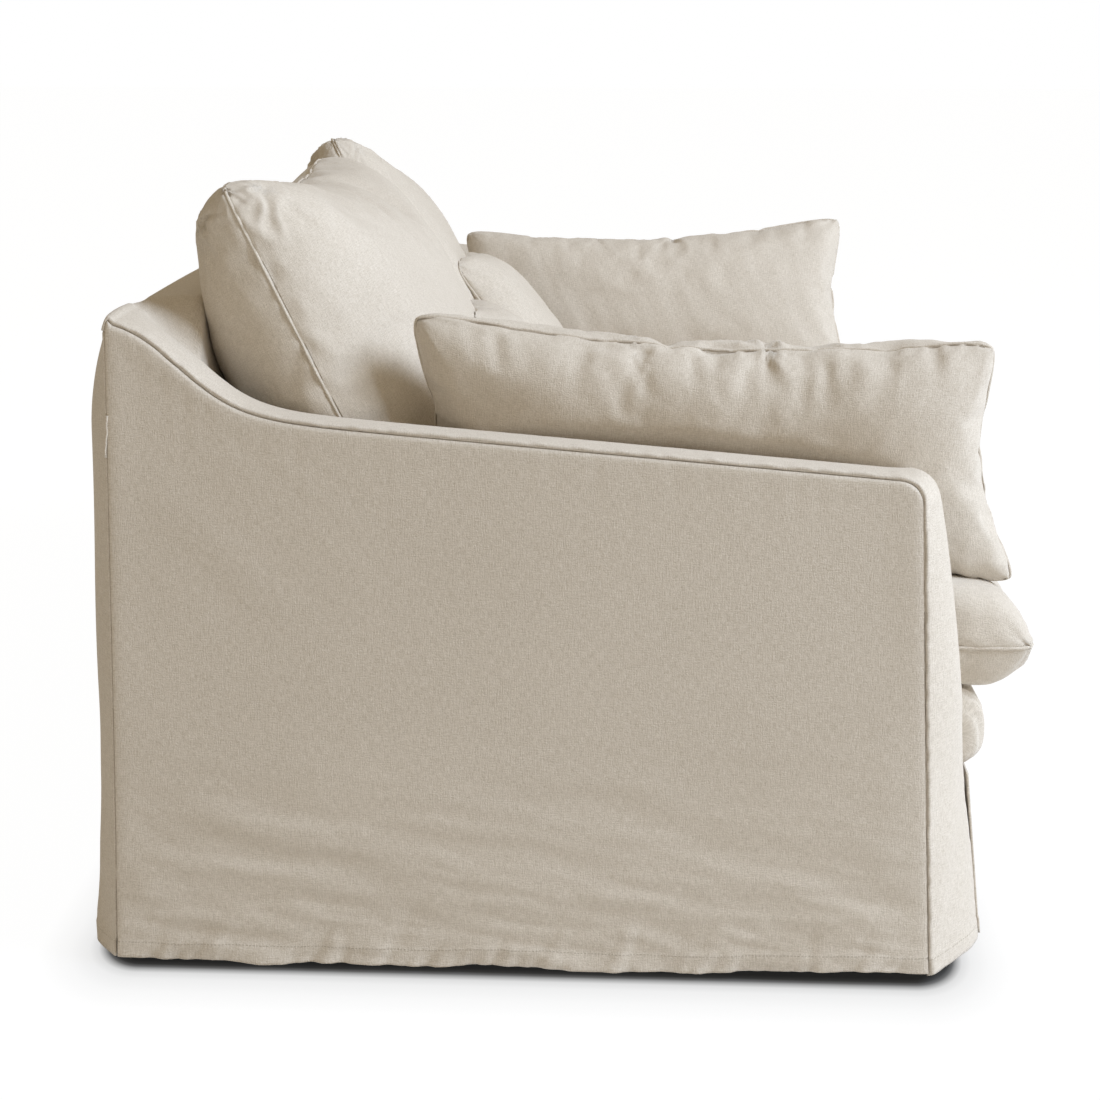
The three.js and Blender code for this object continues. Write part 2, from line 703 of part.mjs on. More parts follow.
function cushionGeometry(spec, columns, rows, grow) {
  const right = new THREE.Vector3(...spec.right);
  const up = new THREE.Vector3(...spec.up);
  const normal = new THREE.Vector3().crossVectors(right, up);
  const turn = new THREE.Matrix4().makeRotationZ(spec.turn || 0);
  const face = (rise) => (u, v) => {
    const { along: flatAlong, up: flatUp, swell } = cushionShape(spec, u, v);
    const sheared = flatAlong + (spec.shear || 0) * flatUp;
    const along = sheared * Math.cos(spec.roll || 0) - flatUp * Math.sin(spec.roll || 0);
    const lift = sheared * Math.sin(spec.roll || 0) + flatUp * Math.cos(spec.roll || 0);
    const place = new THREE.Vector3()
      .addScaledVector(right, along + Math.sign(u) * grow)
      .addScaledVector(up, lift + Math.sign(v) * grow)
      .addScaledVector(normal, (rise + Math.sign(rise) * grow) * swell)
      .applyMatrix4(turn)
      .add(new THREE.Vector3(...spec.centre));
    return spec.rest(place, grow).toArray();
  };
  return seamedSolid(columns, rows, face(spec.front), face(-spec.back));
}

// A cushion, pressed in wherever it would run into the ones that it leans on
function cushion(name, spec, columns, rows, leansOn) {
  let geometry = cushionGeometry(spec, columns, rows, 0);
  for (const other of leansOn) {
    const pressed = toManifold(geometry).subtract(toManifold(other)).decompose();
    pressed.sort((a, b) => b.volume() - a.volume());
    geometry = fromManifold(pressed[0]);
  }
  addNode(name, geometry, linenCushion);
}

const seatTop = seatCushionTop + gap;
const seatDepth = seatCushionFront - insideBackFoot - cushionGap;
const seatHalf = (innerHalf - cushionGap) / 2;
for (const [word, side] of [['right', -1], ['left', 1]]) {
  const seam = blend(deckHeight, seatCushionTop, seatSeamShare);
  cushion(`seat_cushion_${word}`, {
    width: innerHalf - 2 * cushionGap,
    height: seatDepth,
    front: (seatCushionTop - seam) * seatOverfillShare,
    back: (seam - deckHeight) * seatOverfillShare,
    boxiness: 10,
    drawnIn: seatDrawnInShare,
    right: [1, 0, 0],
    up: [0, 1, 0],
    centre: [side * (seatHalf + cushionGap / 2), -(seatCushionFront + insideBackFoot + cushionGap) / 2, seam],
    rest: (place) => {
      place.z = Math.min(seatCushionTop, Math.max(deckHeight + gap, place.z));
      return place;
    },
  }, 14, 14, []);
}

function onSeatAndBack(place, grow) {
  place.z = Math.max(seatTop - grow, place.z);
  place.y = Math.min(-insideBackDepth(Math.min(place.z, backHeight)) - gap, place.y);
  place.x = Math.max(-deckLimit, Math.min(deckLimit, place.x));
  return place;
}

const backLean = THREE.MathUtils.degToRad(backCushionLean);
const backCushions = [];
const backPlaces = [
  ['right', -1, rightBackDepth, rightBackMiddle, rightBackFront, rightBackTurn, rightBackRoll],
  ['left', 1, leftBackDepth, leftBackMiddle, leftBackFront, leftBackTurn, leftBackRoll],
];
for (const [word, side, depth, middle, front, turn, roll] of backPlaces) {
  const spec = {
    width: innerHalf - 2 * cushionGap,
    height: backCushionHeight,
    front,
    back: backCushionRear,
    boxiness: 5,
    drawnIn: drawnInShare,
    roll: THREE.MathUtils.degToRad(-roll),
    right: [1, 0, 0],
    up: [0, Math.sin(backLean), Math.cos(backLean)],
    turn: THREE.MathUtils.degToRad(turn),
    centre: [side * (seatHalf + cushionGap / 2), -depth, middle],
    rest: (place, grow) => {
      const inner = side * cushionGap / 2;
      const rested = onSeatAndBack(place, grow);
      rested.x = side > 0 ? Math.max(inner, rested.x) : Math.min(inner, rested.x);
      return rested;
    },
  };
  cushion(`back_cushion_${word}`, spec, 14, 12, []);
  backCushions.push(cushionGeometry(spec, 14, 12, pressClear));
}

// Long pillows leaning on the arms, one a little further back than the other
const armPillows = [
  ['right', -1, rightPillowMiddle, rightPillowCentre, rightPillowRoll, rightPillowShearShare],
  ['left', 1, leftPillowMiddle, leftPillowCentre, leftPillowRoll, 0],
];
for (const [word, side, middle, centre, roll, shear] of armPillows) {
  const lean = THREE.MathUtils.degToRad(armPillowLean);
  cushion(`arm_pillow_${word}`, {
    width: armPillowLength,
    height: armPillowHeight,
    front: armPillowThickness * pillowFrontShare,
    back: armPillowThickness * (1 - pillowFrontShare),
    boxiness: 4,
    drawnIn: drawnInShare,
    roll: THREE.MathUtils.degToRad(roll),
    shear,
    right: [0, -side, 0],
    up: [side * Math.sin(lean), 0, Math.cos(lean)],
    centre: [side * (innerHalf - armPillowInset), -middle, centre],
    rest: (place) => {
      place.z = Math.max(seatTop, place.z);
      const clearTop = armLine(Math.max(rearRound, -place.y)) + bandTopCrown;
      const overhang = pillowOverhangShare * Math.max(0, place.z - clearTop);
      place.x = side * Math.min(deckLimit - pillowClear + overhang, side * place.x);
      return place;
    },
  }, 12, 8, backCushions);
}

// Two small pillows in front of the back cushions
const leftLumbarX = innerHalf - leftLumbarInset;
const lumbarPillows = [
  ['right', leftLumbarX - lumbarSpacing, rightLumbarDepth],
  ['left', leftLumbarX, leftLumbarDepth],
];
for (const [word, x, depth] of lumbarPillows) {
  const lean = THREE.MathUtils.degToRad(lumbarLean);
  cushion(`lumbar_pillow_${word}`, {
    width: lumbarWidth,
    height: lumbarHeight,
    front: lumbarThickness * pillowFrontShare,
    back: lumbarThickness * (1 - pillowFrontShare),
    boxiness: 4,
    drawnIn: drawnInShare,
    turn: THREE.MathUtils.degToRad(lumbarTurn),
    right: [1, 0, 0],
    up: [0, Math.sin(lean), Math.cos(lean)],
    centre: [x, -depth, lumbarMiddle],
    rest: onSeatAndBack,
  }, 10, 8, backCushions);
}

// The origin is the middle of the footprint, on the floor
const bounds = new THREE.Box3().setFromObject(sofa);
const middle = bounds.getCenter(new THREE.Vector3());
sofa.position.set(-middle.x, -middle.y, -bounds.min.z);
sofa.updateMatrixWorld(true);

export default sofa;
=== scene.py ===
import math

import bmesh
import bpy
import numpy as np
from mathutils import Matrix, Vector


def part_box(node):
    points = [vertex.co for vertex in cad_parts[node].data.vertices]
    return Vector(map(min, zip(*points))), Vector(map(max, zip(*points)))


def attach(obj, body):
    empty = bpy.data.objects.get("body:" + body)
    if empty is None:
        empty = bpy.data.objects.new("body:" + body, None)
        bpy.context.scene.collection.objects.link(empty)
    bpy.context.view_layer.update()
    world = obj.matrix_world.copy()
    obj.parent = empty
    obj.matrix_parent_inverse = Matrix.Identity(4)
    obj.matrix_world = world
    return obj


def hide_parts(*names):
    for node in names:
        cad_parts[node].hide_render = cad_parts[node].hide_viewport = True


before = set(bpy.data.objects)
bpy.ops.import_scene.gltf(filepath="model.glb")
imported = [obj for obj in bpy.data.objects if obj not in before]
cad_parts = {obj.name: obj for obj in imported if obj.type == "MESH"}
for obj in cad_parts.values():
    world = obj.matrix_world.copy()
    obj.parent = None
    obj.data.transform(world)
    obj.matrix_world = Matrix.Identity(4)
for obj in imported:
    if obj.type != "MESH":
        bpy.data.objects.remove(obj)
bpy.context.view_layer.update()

print("frame loaded")

# Metres throughout. -Y is the front of the sofa and -X the sitter's right.
# Depth is measured forward from the seam between the sides and the back.
cover = dict(
    halfWidth=1.025, armThickness=0.125, backHeight=0.796, armFrontHeight=0.618,
    frontSeamDepth=0.967, armCorner=0.037, hemHeight=0.012, deckHeight=0.325,
    cloth=0.003, gap=0.0003, hemWidth=0.020, hemPly=0.0012, hemStep=0.002, hemFade=0.05,
    armSlopeRise=0.073, slopeStart=0.026, shoulderRise=0.106, shoulderMiddle=0.104, shoulderRun=0.034,
    rearRound=0.012, rearTip=(0.004, 0.806), rearDrop=0.014, frontSeamFlare=0.023, frontCornerDrop=0.038,
    bandDropRun=0.060, bandRearShare=0.25, bandTopCrown=0.0065, bandInnerDrop=0.019, bandCornerCrown=0.012,
    bandFrontCrown=0.048, bandHemCrown=0.069, bandCloseFoot=0.180, bandCloseTop=0.430,
    sideFlare=0.010, foldReach=0.330, backCrown=0.0215, backSag=0.005, backHemCrown=0.035, backTopClose=0.14,
    backCornerWidth=0.075, insideBackTop=0.088, insideBackFoot=0.150, topRound=0.014,
    rollBottom=0.221, rollFootAhead=0.085, rollOverhang=0.012, rollBackAhead=0.018,
    rearLeanTop=0.012, rearLeanFoot=0.003, leanReach=0.085,
)
gap, hemHeight, deckHeight, backHeight = (cover[key] for key in ("gap", "hemHeight", "deckHeight", "backHeight"))
armHeight, seamDepth = cover["armFrontHeight"], cover["frontSeamDepth"]
backTop, backFoot = cover["insideBackTop"], cover["insideBackFoot"]
innerHalf = cover["halfWidth"] - cover["armThickness"]
armRunEnd = seamDepth - cover["armCorner"]
cornerTop = armHeight - cover["frontCornerDrop"]
rearEdge = backHeight - cover["rearDrop"]
rollFoot = seamDepth + cover["rollFootAhead"]
rollFront = rollFoot + cover["rollOverhang"]
rollBack = seamDepth + cover["rollBackAhead"]
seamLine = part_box("inside_back")[1].y + gap


def put(thing, **settings):
    for key, value in settings.items():
        setattr(thing, key, value)
    return thing


def addObject(name, data):
    thing = bpy.data.objects.new(name, data)
    bpy.context.scene.collection.objects.link(thing)
    return thing


def readArray(items, key, width, kind=float):
    values = np.empty(len(items) * width, dtype=kind)
    items.foreach_get(key, values)
    return values.reshape(-1, width)


# Camera: standing off the sitter's right-hand end, looking slightly down
view = dict(
    place=(-3.6117, -0.1136, 1.151), yaw=-3.37, pitch=10.77,
    camera=dict(lens=74.35, sensor_width=36.0, shift_x=0.0245, shift_y=-0.10, clip_end=60),
)


def placeCamera():
    yaw, pitch = math.radians(view["yaw"]), math.radians(view["pitch"])
    forward = Vector((math.cos(pitch) * math.cos(yaw), -math.sin(yaw) * math.cos(pitch), -math.sin(pitch)))
    right = forward.cross(Vector((0, 0, 1))).normalized()
    turn = Matrix((right, right.cross(forward), -forward)).transposed()
    camera = addObject("camera", put(bpy.data.cameras.new("camera"), **view["camera"]))
    camera.matrix_world = Matrix.Translation(view["place"]) @ turn.to_4x4()
    bpy.context.scene.camera = camera


placeCamera()


# Nodes and colours

def linearColour(hexCode):
    # sRGB hex to linear: the standard curve, a straight foot and a 2.4 power above it
    parts = [int(hexCode[k:k + 2], 16) / 255 for k in (1, 3, 5)]
    return [p / 12.92 if p <= 0.04045 else ((p + 0.055) / 1.055) ** 2.4 for p in parts] + [1]


def addNode(tree, kind, links=None, **settings):
    node = put(tree.nodes.new(kind), **settings)
    for key, value in (links or {}).items():
        if isinstance(value, bpy.types.NodeSocket):
            tree.links.new(value, node.inputs[key])
        else:
            node.inputs[key].default_value = value
    return node


def maths(tree, operation, *values):
    return addNode(tree, "ShaderNodeMath", dict(enumerate(values)), operation=operation).outputs[0]


def freshMaterial(name):
    material = bpy.data.materials.new(name)
    material.use_nodes = True
    material.node_tree.nodes.clear()
    return material, material.node_tree


def closeMaterial(tree, look, shade, height, extra=None):
    # The shade picks a colour between dark and light, and the height gives the relief
    colour = addNode(tree, "ShaderNodeMix", {
        "Factor": shade, "A": linearColour(look["dark"]), "B": linearColour(look["light"]),
    }, data_type="RGBA")
    bump = addNode(tree, "ShaderNodeBump", {"Height": height, "Distance": look["bumpDepth"], "Strength": 1.0})
    shader = addNode(tree, "ShaderNodeBsdfPrincipled", {
        "Base Color": colour.outputs["Result"], "Roughness": look["roughness"],
        "Normal": bump.outputs["Normal"], **(extra or {}),
    })
    addNode(tree, "ShaderNodeOutputMaterial", {"Surface": shader.outputs[0]})


# Stonewashed linen: plain weave of slubby yarn, softened by washing. It gives a dry matt surface,
# thick and thin threads both ways, faint cloudy shade changes and a pale fuzz at grazing angles.
# Its threads are about 1 mm, drawn here at 1.4 to 1.7 mm because finer ones do not show.
linenLook = dict(
    dark="#B6AB9A", light="#E1D8CB", middle=0.50,
    # Name, size across and along, turn in degrees, weight
    patterns=[
        ("warp slub", 0.0014, 0.012, 0.0, 0.62),
        ("weft slub", 0.0014, 0.009, 90.0, 0.62),
        ("yarn", 0.0017, 0.0017, 45.0, 0.66),
        ("mottle", 0.014, 0.014, 20.0, 0.10),
        ("wash cloud", 0.21, 0.15, 10.0, 0.14),
    ],
    roughness=0.93, sheen=0.22, sheenRoughness=0.55, ior=1.5, specular=0.3, bumpDepth=0.0005,
    stitchPitch=0.0042, stitchShare=0.62, stitchHeight=0.0190, stitchWidth=0.0011, stitchShade=0.5,
)


def buildLinen(name, look, stitched=False):
    material, tree = freshMaterial(name)
    flat = addNode(tree, "ShaderNodeUVMap", uv_map="flat").outputs["UV"]
    shade = look["middle"]
    for _, acrossSize, alongSize, turned, weight in look["patterns"]:
        turning = addNode(tree, "ShaderNodeMapping", {"Vector": flat, "Rotation": (0, 0, math.radians(turned))})
        spread = addNode(tree, "ShaderNodeVectorMath", {
            0: turning.outputs["Vector"], 1: (1 / acrossSize, 1 / alongSize, 1),
        }, operation="MULTIPLY")
        noise = addNode(tree, "ShaderNodeTexNoise", {
            "Vector": spread.outputs["Vector"], "Scale": 1.0, "Detail": 1.5, "Roughness": 0.5,
        }, noise_dimensions="2D")
        shade = maths(tree, "MULTIPLY_ADD", maths(tree, "SUBTRACT", noise.outputs["Fac"], 0.5), weight, shade)
    height = shade
    if stitched:
        # Topstitching: dashes along a line at a fixed height above the hem
        hem = addNode(tree, "ShaderNodeUVMap", uv_map="hem").outputs["UV"]
        axes = addNode(tree, "ShaderNodeSeparateXYZ", {"Vector": hem}).outputs
        part = maths(tree, "FRACT", maths(tree, "DIVIDE", axes["X"], look["stitchPitch"]))
        onDash = maths(tree, "LESS_THAN", part, look["stitchShare"])
        onLine = maths(tree, "COMPARE", axes["Y"], look["stitchHeight"], look["stitchWidth"] / 2)
        dash = maths(tree, "MULTIPLY", onDash, onLine)
        shade = maths(tree, "MULTIPLY_ADD", dash, -look["stitchShade"], shade)
        height = maths(tree, "MULTIPLY_ADD", dash, -1.0, height)
    closeMaterial(tree, look, shade, height, {
        "IOR": look["ior"], "Sheen Weight": look["sheen"], "Sheen Roughness": look["sheenRoughness"],
        "Specular IOR Level": look["specular"],
    })
    return material


linen = buildLinen("stonewashedLinen", linenLook)
hemLinen = buildLinen("hemmedLinen", linenLook, stitched=True)
# Thin tubes sunk in the seam ditches, in linen of a darker colour: the darker colour is painted shade of the ditch
ditchShadeLinen = buildLinen("sunkThread", dict(linenLook, dark="#928575", light="#ACA090", sheen=0.05))
print("linen made")


# Shapes as whole arrays

def smooth(value):
    # Smoothstep: 3t^2 - 2t^3 between 0 and 1
    t = np.clip(value, 0, 1)
    return t * t * (3 - 2 * t)


def mix(a, b, t):
    return a + (b - a) * t


def softNoise(x, y, seed):
    # Value noise: random heights at whole numbers, joined by a quintic curve, from -1 to 1
    table = np.random.default_rng(seed).uniform(-1, 1, (128, 128))
    x, y = np.broadcast_arrays(x, y)
    x0, y0 = np.floor(x).astype(int), np.floor(y).astype(int)
    fx, fy = x - x0, y - y0
    wx = fx ** 3 * (fx * (6 * fx - 15) + 10)
    wy = fy ** 3 * (fy * (6 * fy - 15) + 10)
    near, far = x0 % 128, (x0 + 1) % 128
    low, high = y0 % 128, (y0 + 1) % 128
    return mix(mix(table[near, low], table[far, low], wx), mix(table[near, high], table[far, high], wx), wy)


def ripples(along, across, angle, length, pitch, seed):
    # Long soft folds: noise stretched along a direction, sharpened a little at the crests
    c, s = math.cos(math.radians(angle)), math.sin(math.radians(angle))
    u, v = along * c + across * s, across * c - along * s
    bent = v + 0.25 * pitch * softNoise(u / length * 1.7, v / (3 * pitch), seed + 1)
    return softNoise(u / length, bent / pitch, seed) + 0.4 * softNoise(u / length * 2, bent / pitch * 2, seed + 2)


def pairs(a, b):
    return np.stack(np.broadcast_arrays(a, b), -1)


def numbered(rows, columns):
    return np.arange(rows * columns).reshape(rows, columns)


def gridQuads(index):
    return np.stack([index[:-1, :-1], index[:-1, 1:], index[1:, 1:], index[1:, :-1]], -1).reshape(-1, 4)


def closing(line):
    # A line with its first entry again at its end
    return np.concatenate([line, line[:1]])


def makePiece(name, points, quads, uvs, material, hemUvs=None):
    # points: n x 3. quads: m x 4 corner numbers. uvs: one pair for each corner of each quad.
    mesh = bpy.data.meshes.new(name)
    mesh.from_pydata(points.reshape(-1, 3), [], quads.tolist())
    for label, values in (("flat", uvs), ("hem", hemUvs)):
        if values is not None:
            layer = mesh.uv_layers.new(name=label)
            layer.data.foreach_set("uv", np.ascontiguousarray(values, dtype=np.float32).ravel())
    mesh.polygons.foreach_set("use_smooth", np.ones(len(quads), dtype=bool))
    mesh.materials.append(material)
    piece = addObject(name, mesh)
    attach(piece, "root")
    return piece


def layCloth(name, node, points, plan, fromHem=None, turnColumns=False, turnRows=False, **sheet):
    # A grid of points as cloth. Its rows and columns have to turn outwards by the right-hand rule, so
    # either can be taken backwards, and it gets its thickness inwards. plan holds a flat pair for each
    # point, and a hemmed piece has the heights above the hem too.
    hem = None if fromHem is None else pairs(plan[..., 0], fromHem)
    order = slice(None, None, -1 if turnRows else 1), slice(None, None, -1 if turnColumns else 1)
    quads = gridQuads(numbered(*points.shape[:2]))
    uvs, hemUvs = [grid if grid is None else grid[order].reshape(-1, 2)[quads.ravel()] for grid in (plan, hem)]
    piece = makePiece(name, points[order], quads, uvs, linen if hem is None else hemLinen, hemUvs)
    put(piece.modifiers.new("thickness", "SOLIDIFY"), thickness=cover["cloth"], offset=-1, use_even_offset=False)
    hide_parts(node)


def makeTube(name, centres, sideways, upward, section, material, closed=False):
    # A section of (sideways, upward) offsets carried along a line of centres. The section runs
    # round once; the line closes on itself or its two ends are drawn to a point.
    if not closed:
        section = np.concatenate([section[:1] * 0, section, section[-1:] * 0])
        centres, sideways, upward = [np.concatenate([a[:1], a, a[-1:]]) for a in (centres, sideways, upward)]
    points = centres[:, None] + section[..., :1] * sideways[:, None] + section[..., 1:] * upward[:, None]
    rows, columns = points.shape[:2]
    index = numbered(rows, columns)
    index = np.concatenate([index, index[:, :1]], 1)
    index, loop = (closing(index), closing(centres)) if closed else (index, centres)
    flat = pairs(along(closing(section[rows // 2]))[None, :], along(loop)[:, None])
    quads, corners = gridQuads(index), gridQuads(numbered(*flat.shape[:2]))
    points = points.reshape(-1, 3)
    a, b, c, d = (points[quads[:, k]] - points.mean(0) for k in range(4))
    if np.einsum("ij,ij->", a, np.cross(b, c) + np.cross(c, d)) < 0:
        quads, corners = quads[:, ::-1], corners[:, ::-1]
    piece = makePiece(name, points, quads, flat.reshape(-1, 2)[corners.ravel()], material)
    if not closed:
        shell = bmesh.new()
        shell.from_mesh(piece.data)
        bmesh.ops.remove_doubles(shell, verts=shell.verts, dist=1e-6)
        shell.to_mesh(piece.data)
        shell.free()
    return piece


welt = dict(radius=0.0024, flatten=0.85, sides=9, waver=0.10, waverLength=0.030, step=0.005)


def makeWelt(name, line, outwards, radius=None, closed=False, seed=700, material=None):
    # A raised self seam: a soft tube, thick and thin by turns, along a line of points
    both = np.concatenate([line, outwards], 1)
    if closed:
        both = closing(both)
    both = resample(both, max(8, int(along(both[:, :3])[-1] / welt["step"])) + 1)
    if closed:
        both = both[:-1]
        step = np.roll(both[:, :3], -1, 0) - np.roll(both[:, :3], 1, 0)
    else:
        step = np.gradient(both[:, :3], axis=0)
    step = unit(step)
    sideways = unit(np.cross(step, both[:, 3:]))
    turn = np.linspace(0, 2 * math.pi, welt["sides"], endpoint=False)[None, :]
    waver = softNoise(np.arange(len(both)) * welt["step"] / welt["waverLength"], 0.5, seed)
    swell = (radius or welt["radius"]) * (1 + welt["waver"] * waver)[:, None]
    section = pairs(swell * np.cos(turn), welt["flatten"] * swell * np.sin(turn))
    return makeTube(name, both[:, :3], sideways, np.cross(sideways, step), section, material or linen, closed)


def unit(steps):
    return steps / np.linalg.norm(steps, axis=1)[:, None]


def along(points):
    # Running length of a line of points
    steps = np.linalg.norm(np.diff(points, axis=0), axis=1)
    return np.concatenate([[0], np.cumsum(steps)])


def resample(points, count):
    length = along(points)
    shares = np.linspace(0, 1, count)
    return np.stack([np.interp(shares * length[-1], length, points[:, k]) for k in range(points.shape[1])], 1)


def rearLean(height):
    # How far the rear corners of the cover lean forward, more towards the top
    return mix(cover["rearLeanFoot"], cover["rearLeanTop"], np.clip(height / backHeight, 0, 1))


def leanAt(depth, height):
    # The lean fades out along the arm
    return rearLean(height) * np.clip(1 - depth / cover["leanReach"], 0, 1)


def place(x, depth, z):
    x, depth, z = np.broadcast_arrays(x, depth, z)
    return np.stack([x, seamLine - depth - leanAt(depth, z), z], -1)


def curve(start, bend, end, count):
    # A quadratic curve from start to end, drawn towards bend
    t = np.linspace(0, 1, count)[:, None]
    start, bend, end = np.array(start), np.array(bend), np.array(end)
    return (1 - t) ** 2 * start + 2 * t * (1 - t) * bend + t ** 2 * end


# The line that the arm follows, as (depth, height)

def armLine(depth):
    # A straight slope, and at the rear a shoulder that rises in an S: 1 / (1 + e^t)
    slope = (armRunEnd - depth) / (armRunEnd - cover["slopeStart"])
    shoulder = 1 / (1 + np.exp((depth - cover["shoulderMiddle"]) / cover["shoulderRun"]))
    return armHeight + cover["armSlopeRise"] * slope + cover["shoulderRise"] * shoulder


def frontSeamAt(height):
    return seamDepth + cover["frontSeamFlare"] * np.clip((cornerTop - height) / (cornerTop - hemHeight), 0, 1)


def sideX(height):
    return cover["halfWidth"] + cover["sideFlare"] * np.clip(1 - height / cover["foldReach"], 0, 1) ** 2


rearCurve = curve((0, rearEdge), cover["rearTip"], (cover["rearRound"], armLine(cover["rearRound"])), 40)
slopeDepths = np.linspace(cover["rearRound"], armRunEnd, 500)
slopeCurve = pairs(slopeDepths, armLine(slopeDepths))
cornerCurve = curve((armRunEnd, armHeight), (seamDepth, armHeight), (seamDepth, cornerTop), 40)
frontHeights = np.linspace(cornerTop, hemHeight, 240)
armTopPath = np.concatenate([rearCurve, slopeCurve[1:], cornerCurve[1:]])
armPath = np.concatenate([armTopPath, pairs(frontSeamAt(frontHeights), frontHeights)[1:]])


def outward(path):
    # Unit direction square to a (depth, height) line, away from the arm
    step = unit(np.gradient(path, axis=0))
    return np.stack([-step[:, 1], step[:, 0]], 1)


def hemPly(fromHem):
    # The hem is turned up, which makes it a ply thicker
    return cover["hemPly"] * (1 - smooth((fromHem - cover["hemWidth"]) / cover["hemStep"]))


def hemWave(size, where, seed, fromHem):
    return size * softNoise(where, 0.5, seed) * np.exp(-fromHem / cover["hemFade"])


# Outside arm panels

sidePanel = dict(
    columns=230, rows=168, broad=0.0016, ripple=0.0036, rippleReach=0.34, hemPucker=0.0034,
    hemWave=0.0042, hemRise=0.0040, topPucker=0.0012, drag=0.0007, edgeRoll=0.0016, edgeRollWidth=0.012,
    # Share of the ripple, power of its fading upwards, angle, length, pitch, seed step
    ripples=[(1, 1, -6, 0.19, 0.034, 3), (0.30, 2, -24, 0.12, 0.026, 7), (0.62, 1, -3, 0.09, 0.017, 27)],
)


def panelFolds(depth, height, toTop, seed, look):
    # Broad sag, ripples that grow towards the hem, drags off the shoulder and puckers at the seams
    low = smooth((look["rippleReach"] - height) / look["rippleReach"])
    folds = look["broad"] * softNoise(depth / 0.33, height / 0.24, seed)
    for share, power, angle, length, pitch, step in look["ripples"]:
        folds += share * look["ripple"] * low ** power * ripples(depth, height, angle, length, pitch, seed + step)
    atHem = np.exp(-(height - hemHeight) / 0.030)
    folds += look["hemPucker"] * atHem * ripples(depth, height, 62, 0.050, 0.016, seed + 11)
    atTop = np.exp(-toTop / 0.028)
    folds += look["topPucker"] * atTop * softNoise(depth / 0.013, toTop / 0.09, seed + 15)
    shoulder = np.exp(-((depth - 0.20) / 0.15) ** 2) * smooth((height - 0.35) / 0.2)
    folds += look["drag"] * shoulder * ripples(depth, height, -42, 0.22, 0.040, seed + 19)
    return folds


def makeSidePanel(word, side, seed):
    look = sidePanel
    inset = cover["cloth"] + 2 * gap
    path = resample(armTopPath, look["columns"] + 1)
    path = path - outward(path) * inset
    topDepth, topZ = path.T[:, None]
    share = (topDepth - inset) / (seamDepth - 2 * inset)
    footDepth = mix(inset, frontSeamAt(hemHeight) - inset, share)
    v = np.linspace(0, 1, look["rows"] + 1)[:, None]
    v = mix(v, v ** 2, 0.35)
    depth = mix(footDepth, topDepth, v)
    height = mix(hemHeight, topZ, v)
    toTop = topZ - height
    toEdge = np.minimum(np.minimum(depth - inset, frontSeamAt(height) - inset - depth), toTop)
    held = smooth(toEdge / 0.05) * 0.85 + 0.15
    folds = panelFolds(depth, height, toTop, seed, look) * held
    rolled = look["edgeRoll"] * np.exp(-np.clip(toEdge, 0, 1) / look["edgeRollWidth"] * 3)
    fromHem = height - hemHeight
    wave = hemWave(look["hemWave"], depth / 0.065, seed + 23, fromHem)
    wave = wave + look["hemRise"] * smooth((depth - 0.62) / 0.36) * np.exp(-fromHem / 0.15)
    x = sideX(height) + folds - rolled + hemPly(fromHem)
    points = place(side * x, depth, height + wave * smooth(depth / 0.1))
    layCloth(f"side_panel_{word}", f"outside_arm_{word}", points, pairs(depth, height), fromHem, side > 0, True,
             flat=(0.99, 0.78), held="hung", rests_on=[f"arm_board_{word}"], area=0.634)


for word, side, seed in (("right", -1, 100), ("left", 1, 200)):
    makeSidePanel(word, side, seed)
print("side panels made")


# Arm bands: one strip up the front of the arm, along its top and up to the back

band = dict(rows=420, columns=36, pucker=0.0010, seamDip=0.0012, hemWave=0.003, fold=0.0022)


def bandSwell(height, normalDepth, normalZ, depth, across):
    # Crown of the band between its two seams, fuller at the front and fullest at the hem
    down = np.clip((armHeight - height) / (armHeight - deckHeight), 0, 1) ** 0.6
    toHem = smooth((deckHeight - height) / (deckHeight - hemHeight))
    front = mix(mix(cover["bandCornerCrown"], cover["bandFrontCrown"], down), cover["bandHemCrown"], toHem)
    crown = mix(cover["bandTopCrown"], front, smooth(normalDepth))
    closes = smooth((height - cover["bandCloseFoot"]) / (cover["bandCloseTop"] - cover["bandCloseFoot"]))
    pastCorner = smooth((depth - cover["rearRound"]) / cover["bandDropRun"])
    crown = crown * mix(cover["bandRearShare"], 1, pastCorner)
    drop = cover["bandInnerDrop"] * smooth(normalZ) * pastCorner
    return crown * np.sin(math.pi / 2 * (1 + closes) * across) - drop * across


def makeArmBand(word, side, seed):
    path = resample(armPath, band["rows"] + 1)
    normal = outward(path)
    length = along(path)[:, None]
    depth, height = path[:, :1], path[:, 1:]
    across = np.linspace(0, 1, band["columns"] + 1)[None, :]
    swell = bandSwell(height, normal[:, :1], normal[:, 1:], depth, across)
    width = cover["armThickness"]
    toSeam = np.minimum(across, 1 - across) * width
    swell = swell - band["seamDip"] * np.exp(-toSeam / 0.004)
    swell += band["pucker"] * np.exp(-toSeam / 0.022) * softNoise(length / 0.012, across * 4, seed)
    low = smooth((0.35 - height) / 0.35)
    swell += band["fold"] * low * ripples(across * width, height, 70, 0.16, 0.030, seed + 3) * smooth(toSeam / 0.02)
    fromHem = height - hemHeight
    swell += hemPly(fromHem) * smooth(toSeam / 0.004)
    x = mix(sideX(height), innerHalf, across)
    wave = hemWave(band["hemWave"], across * 2.2, seed + 5, fromHem)
    points = place(side * x, depth + normal[:, :1] * swell, height + normal[:, 1:] * swell + wave)
    layCloth(f"arm_strip_{word}", f"arm_band_{word}", points, pairs(across * width, length), fromHem, side > 0,
             flat=(0.16, 1.70), held="stretched", rests_on=[f"arm_pad_{word}"], area=0.225)


for word, side, seed in (("right", -1, 300), ("left", 1, 340)):
    makeArmBand(word, side, seed)
print("arm bands made")


# Outside back, with rounded rear corners

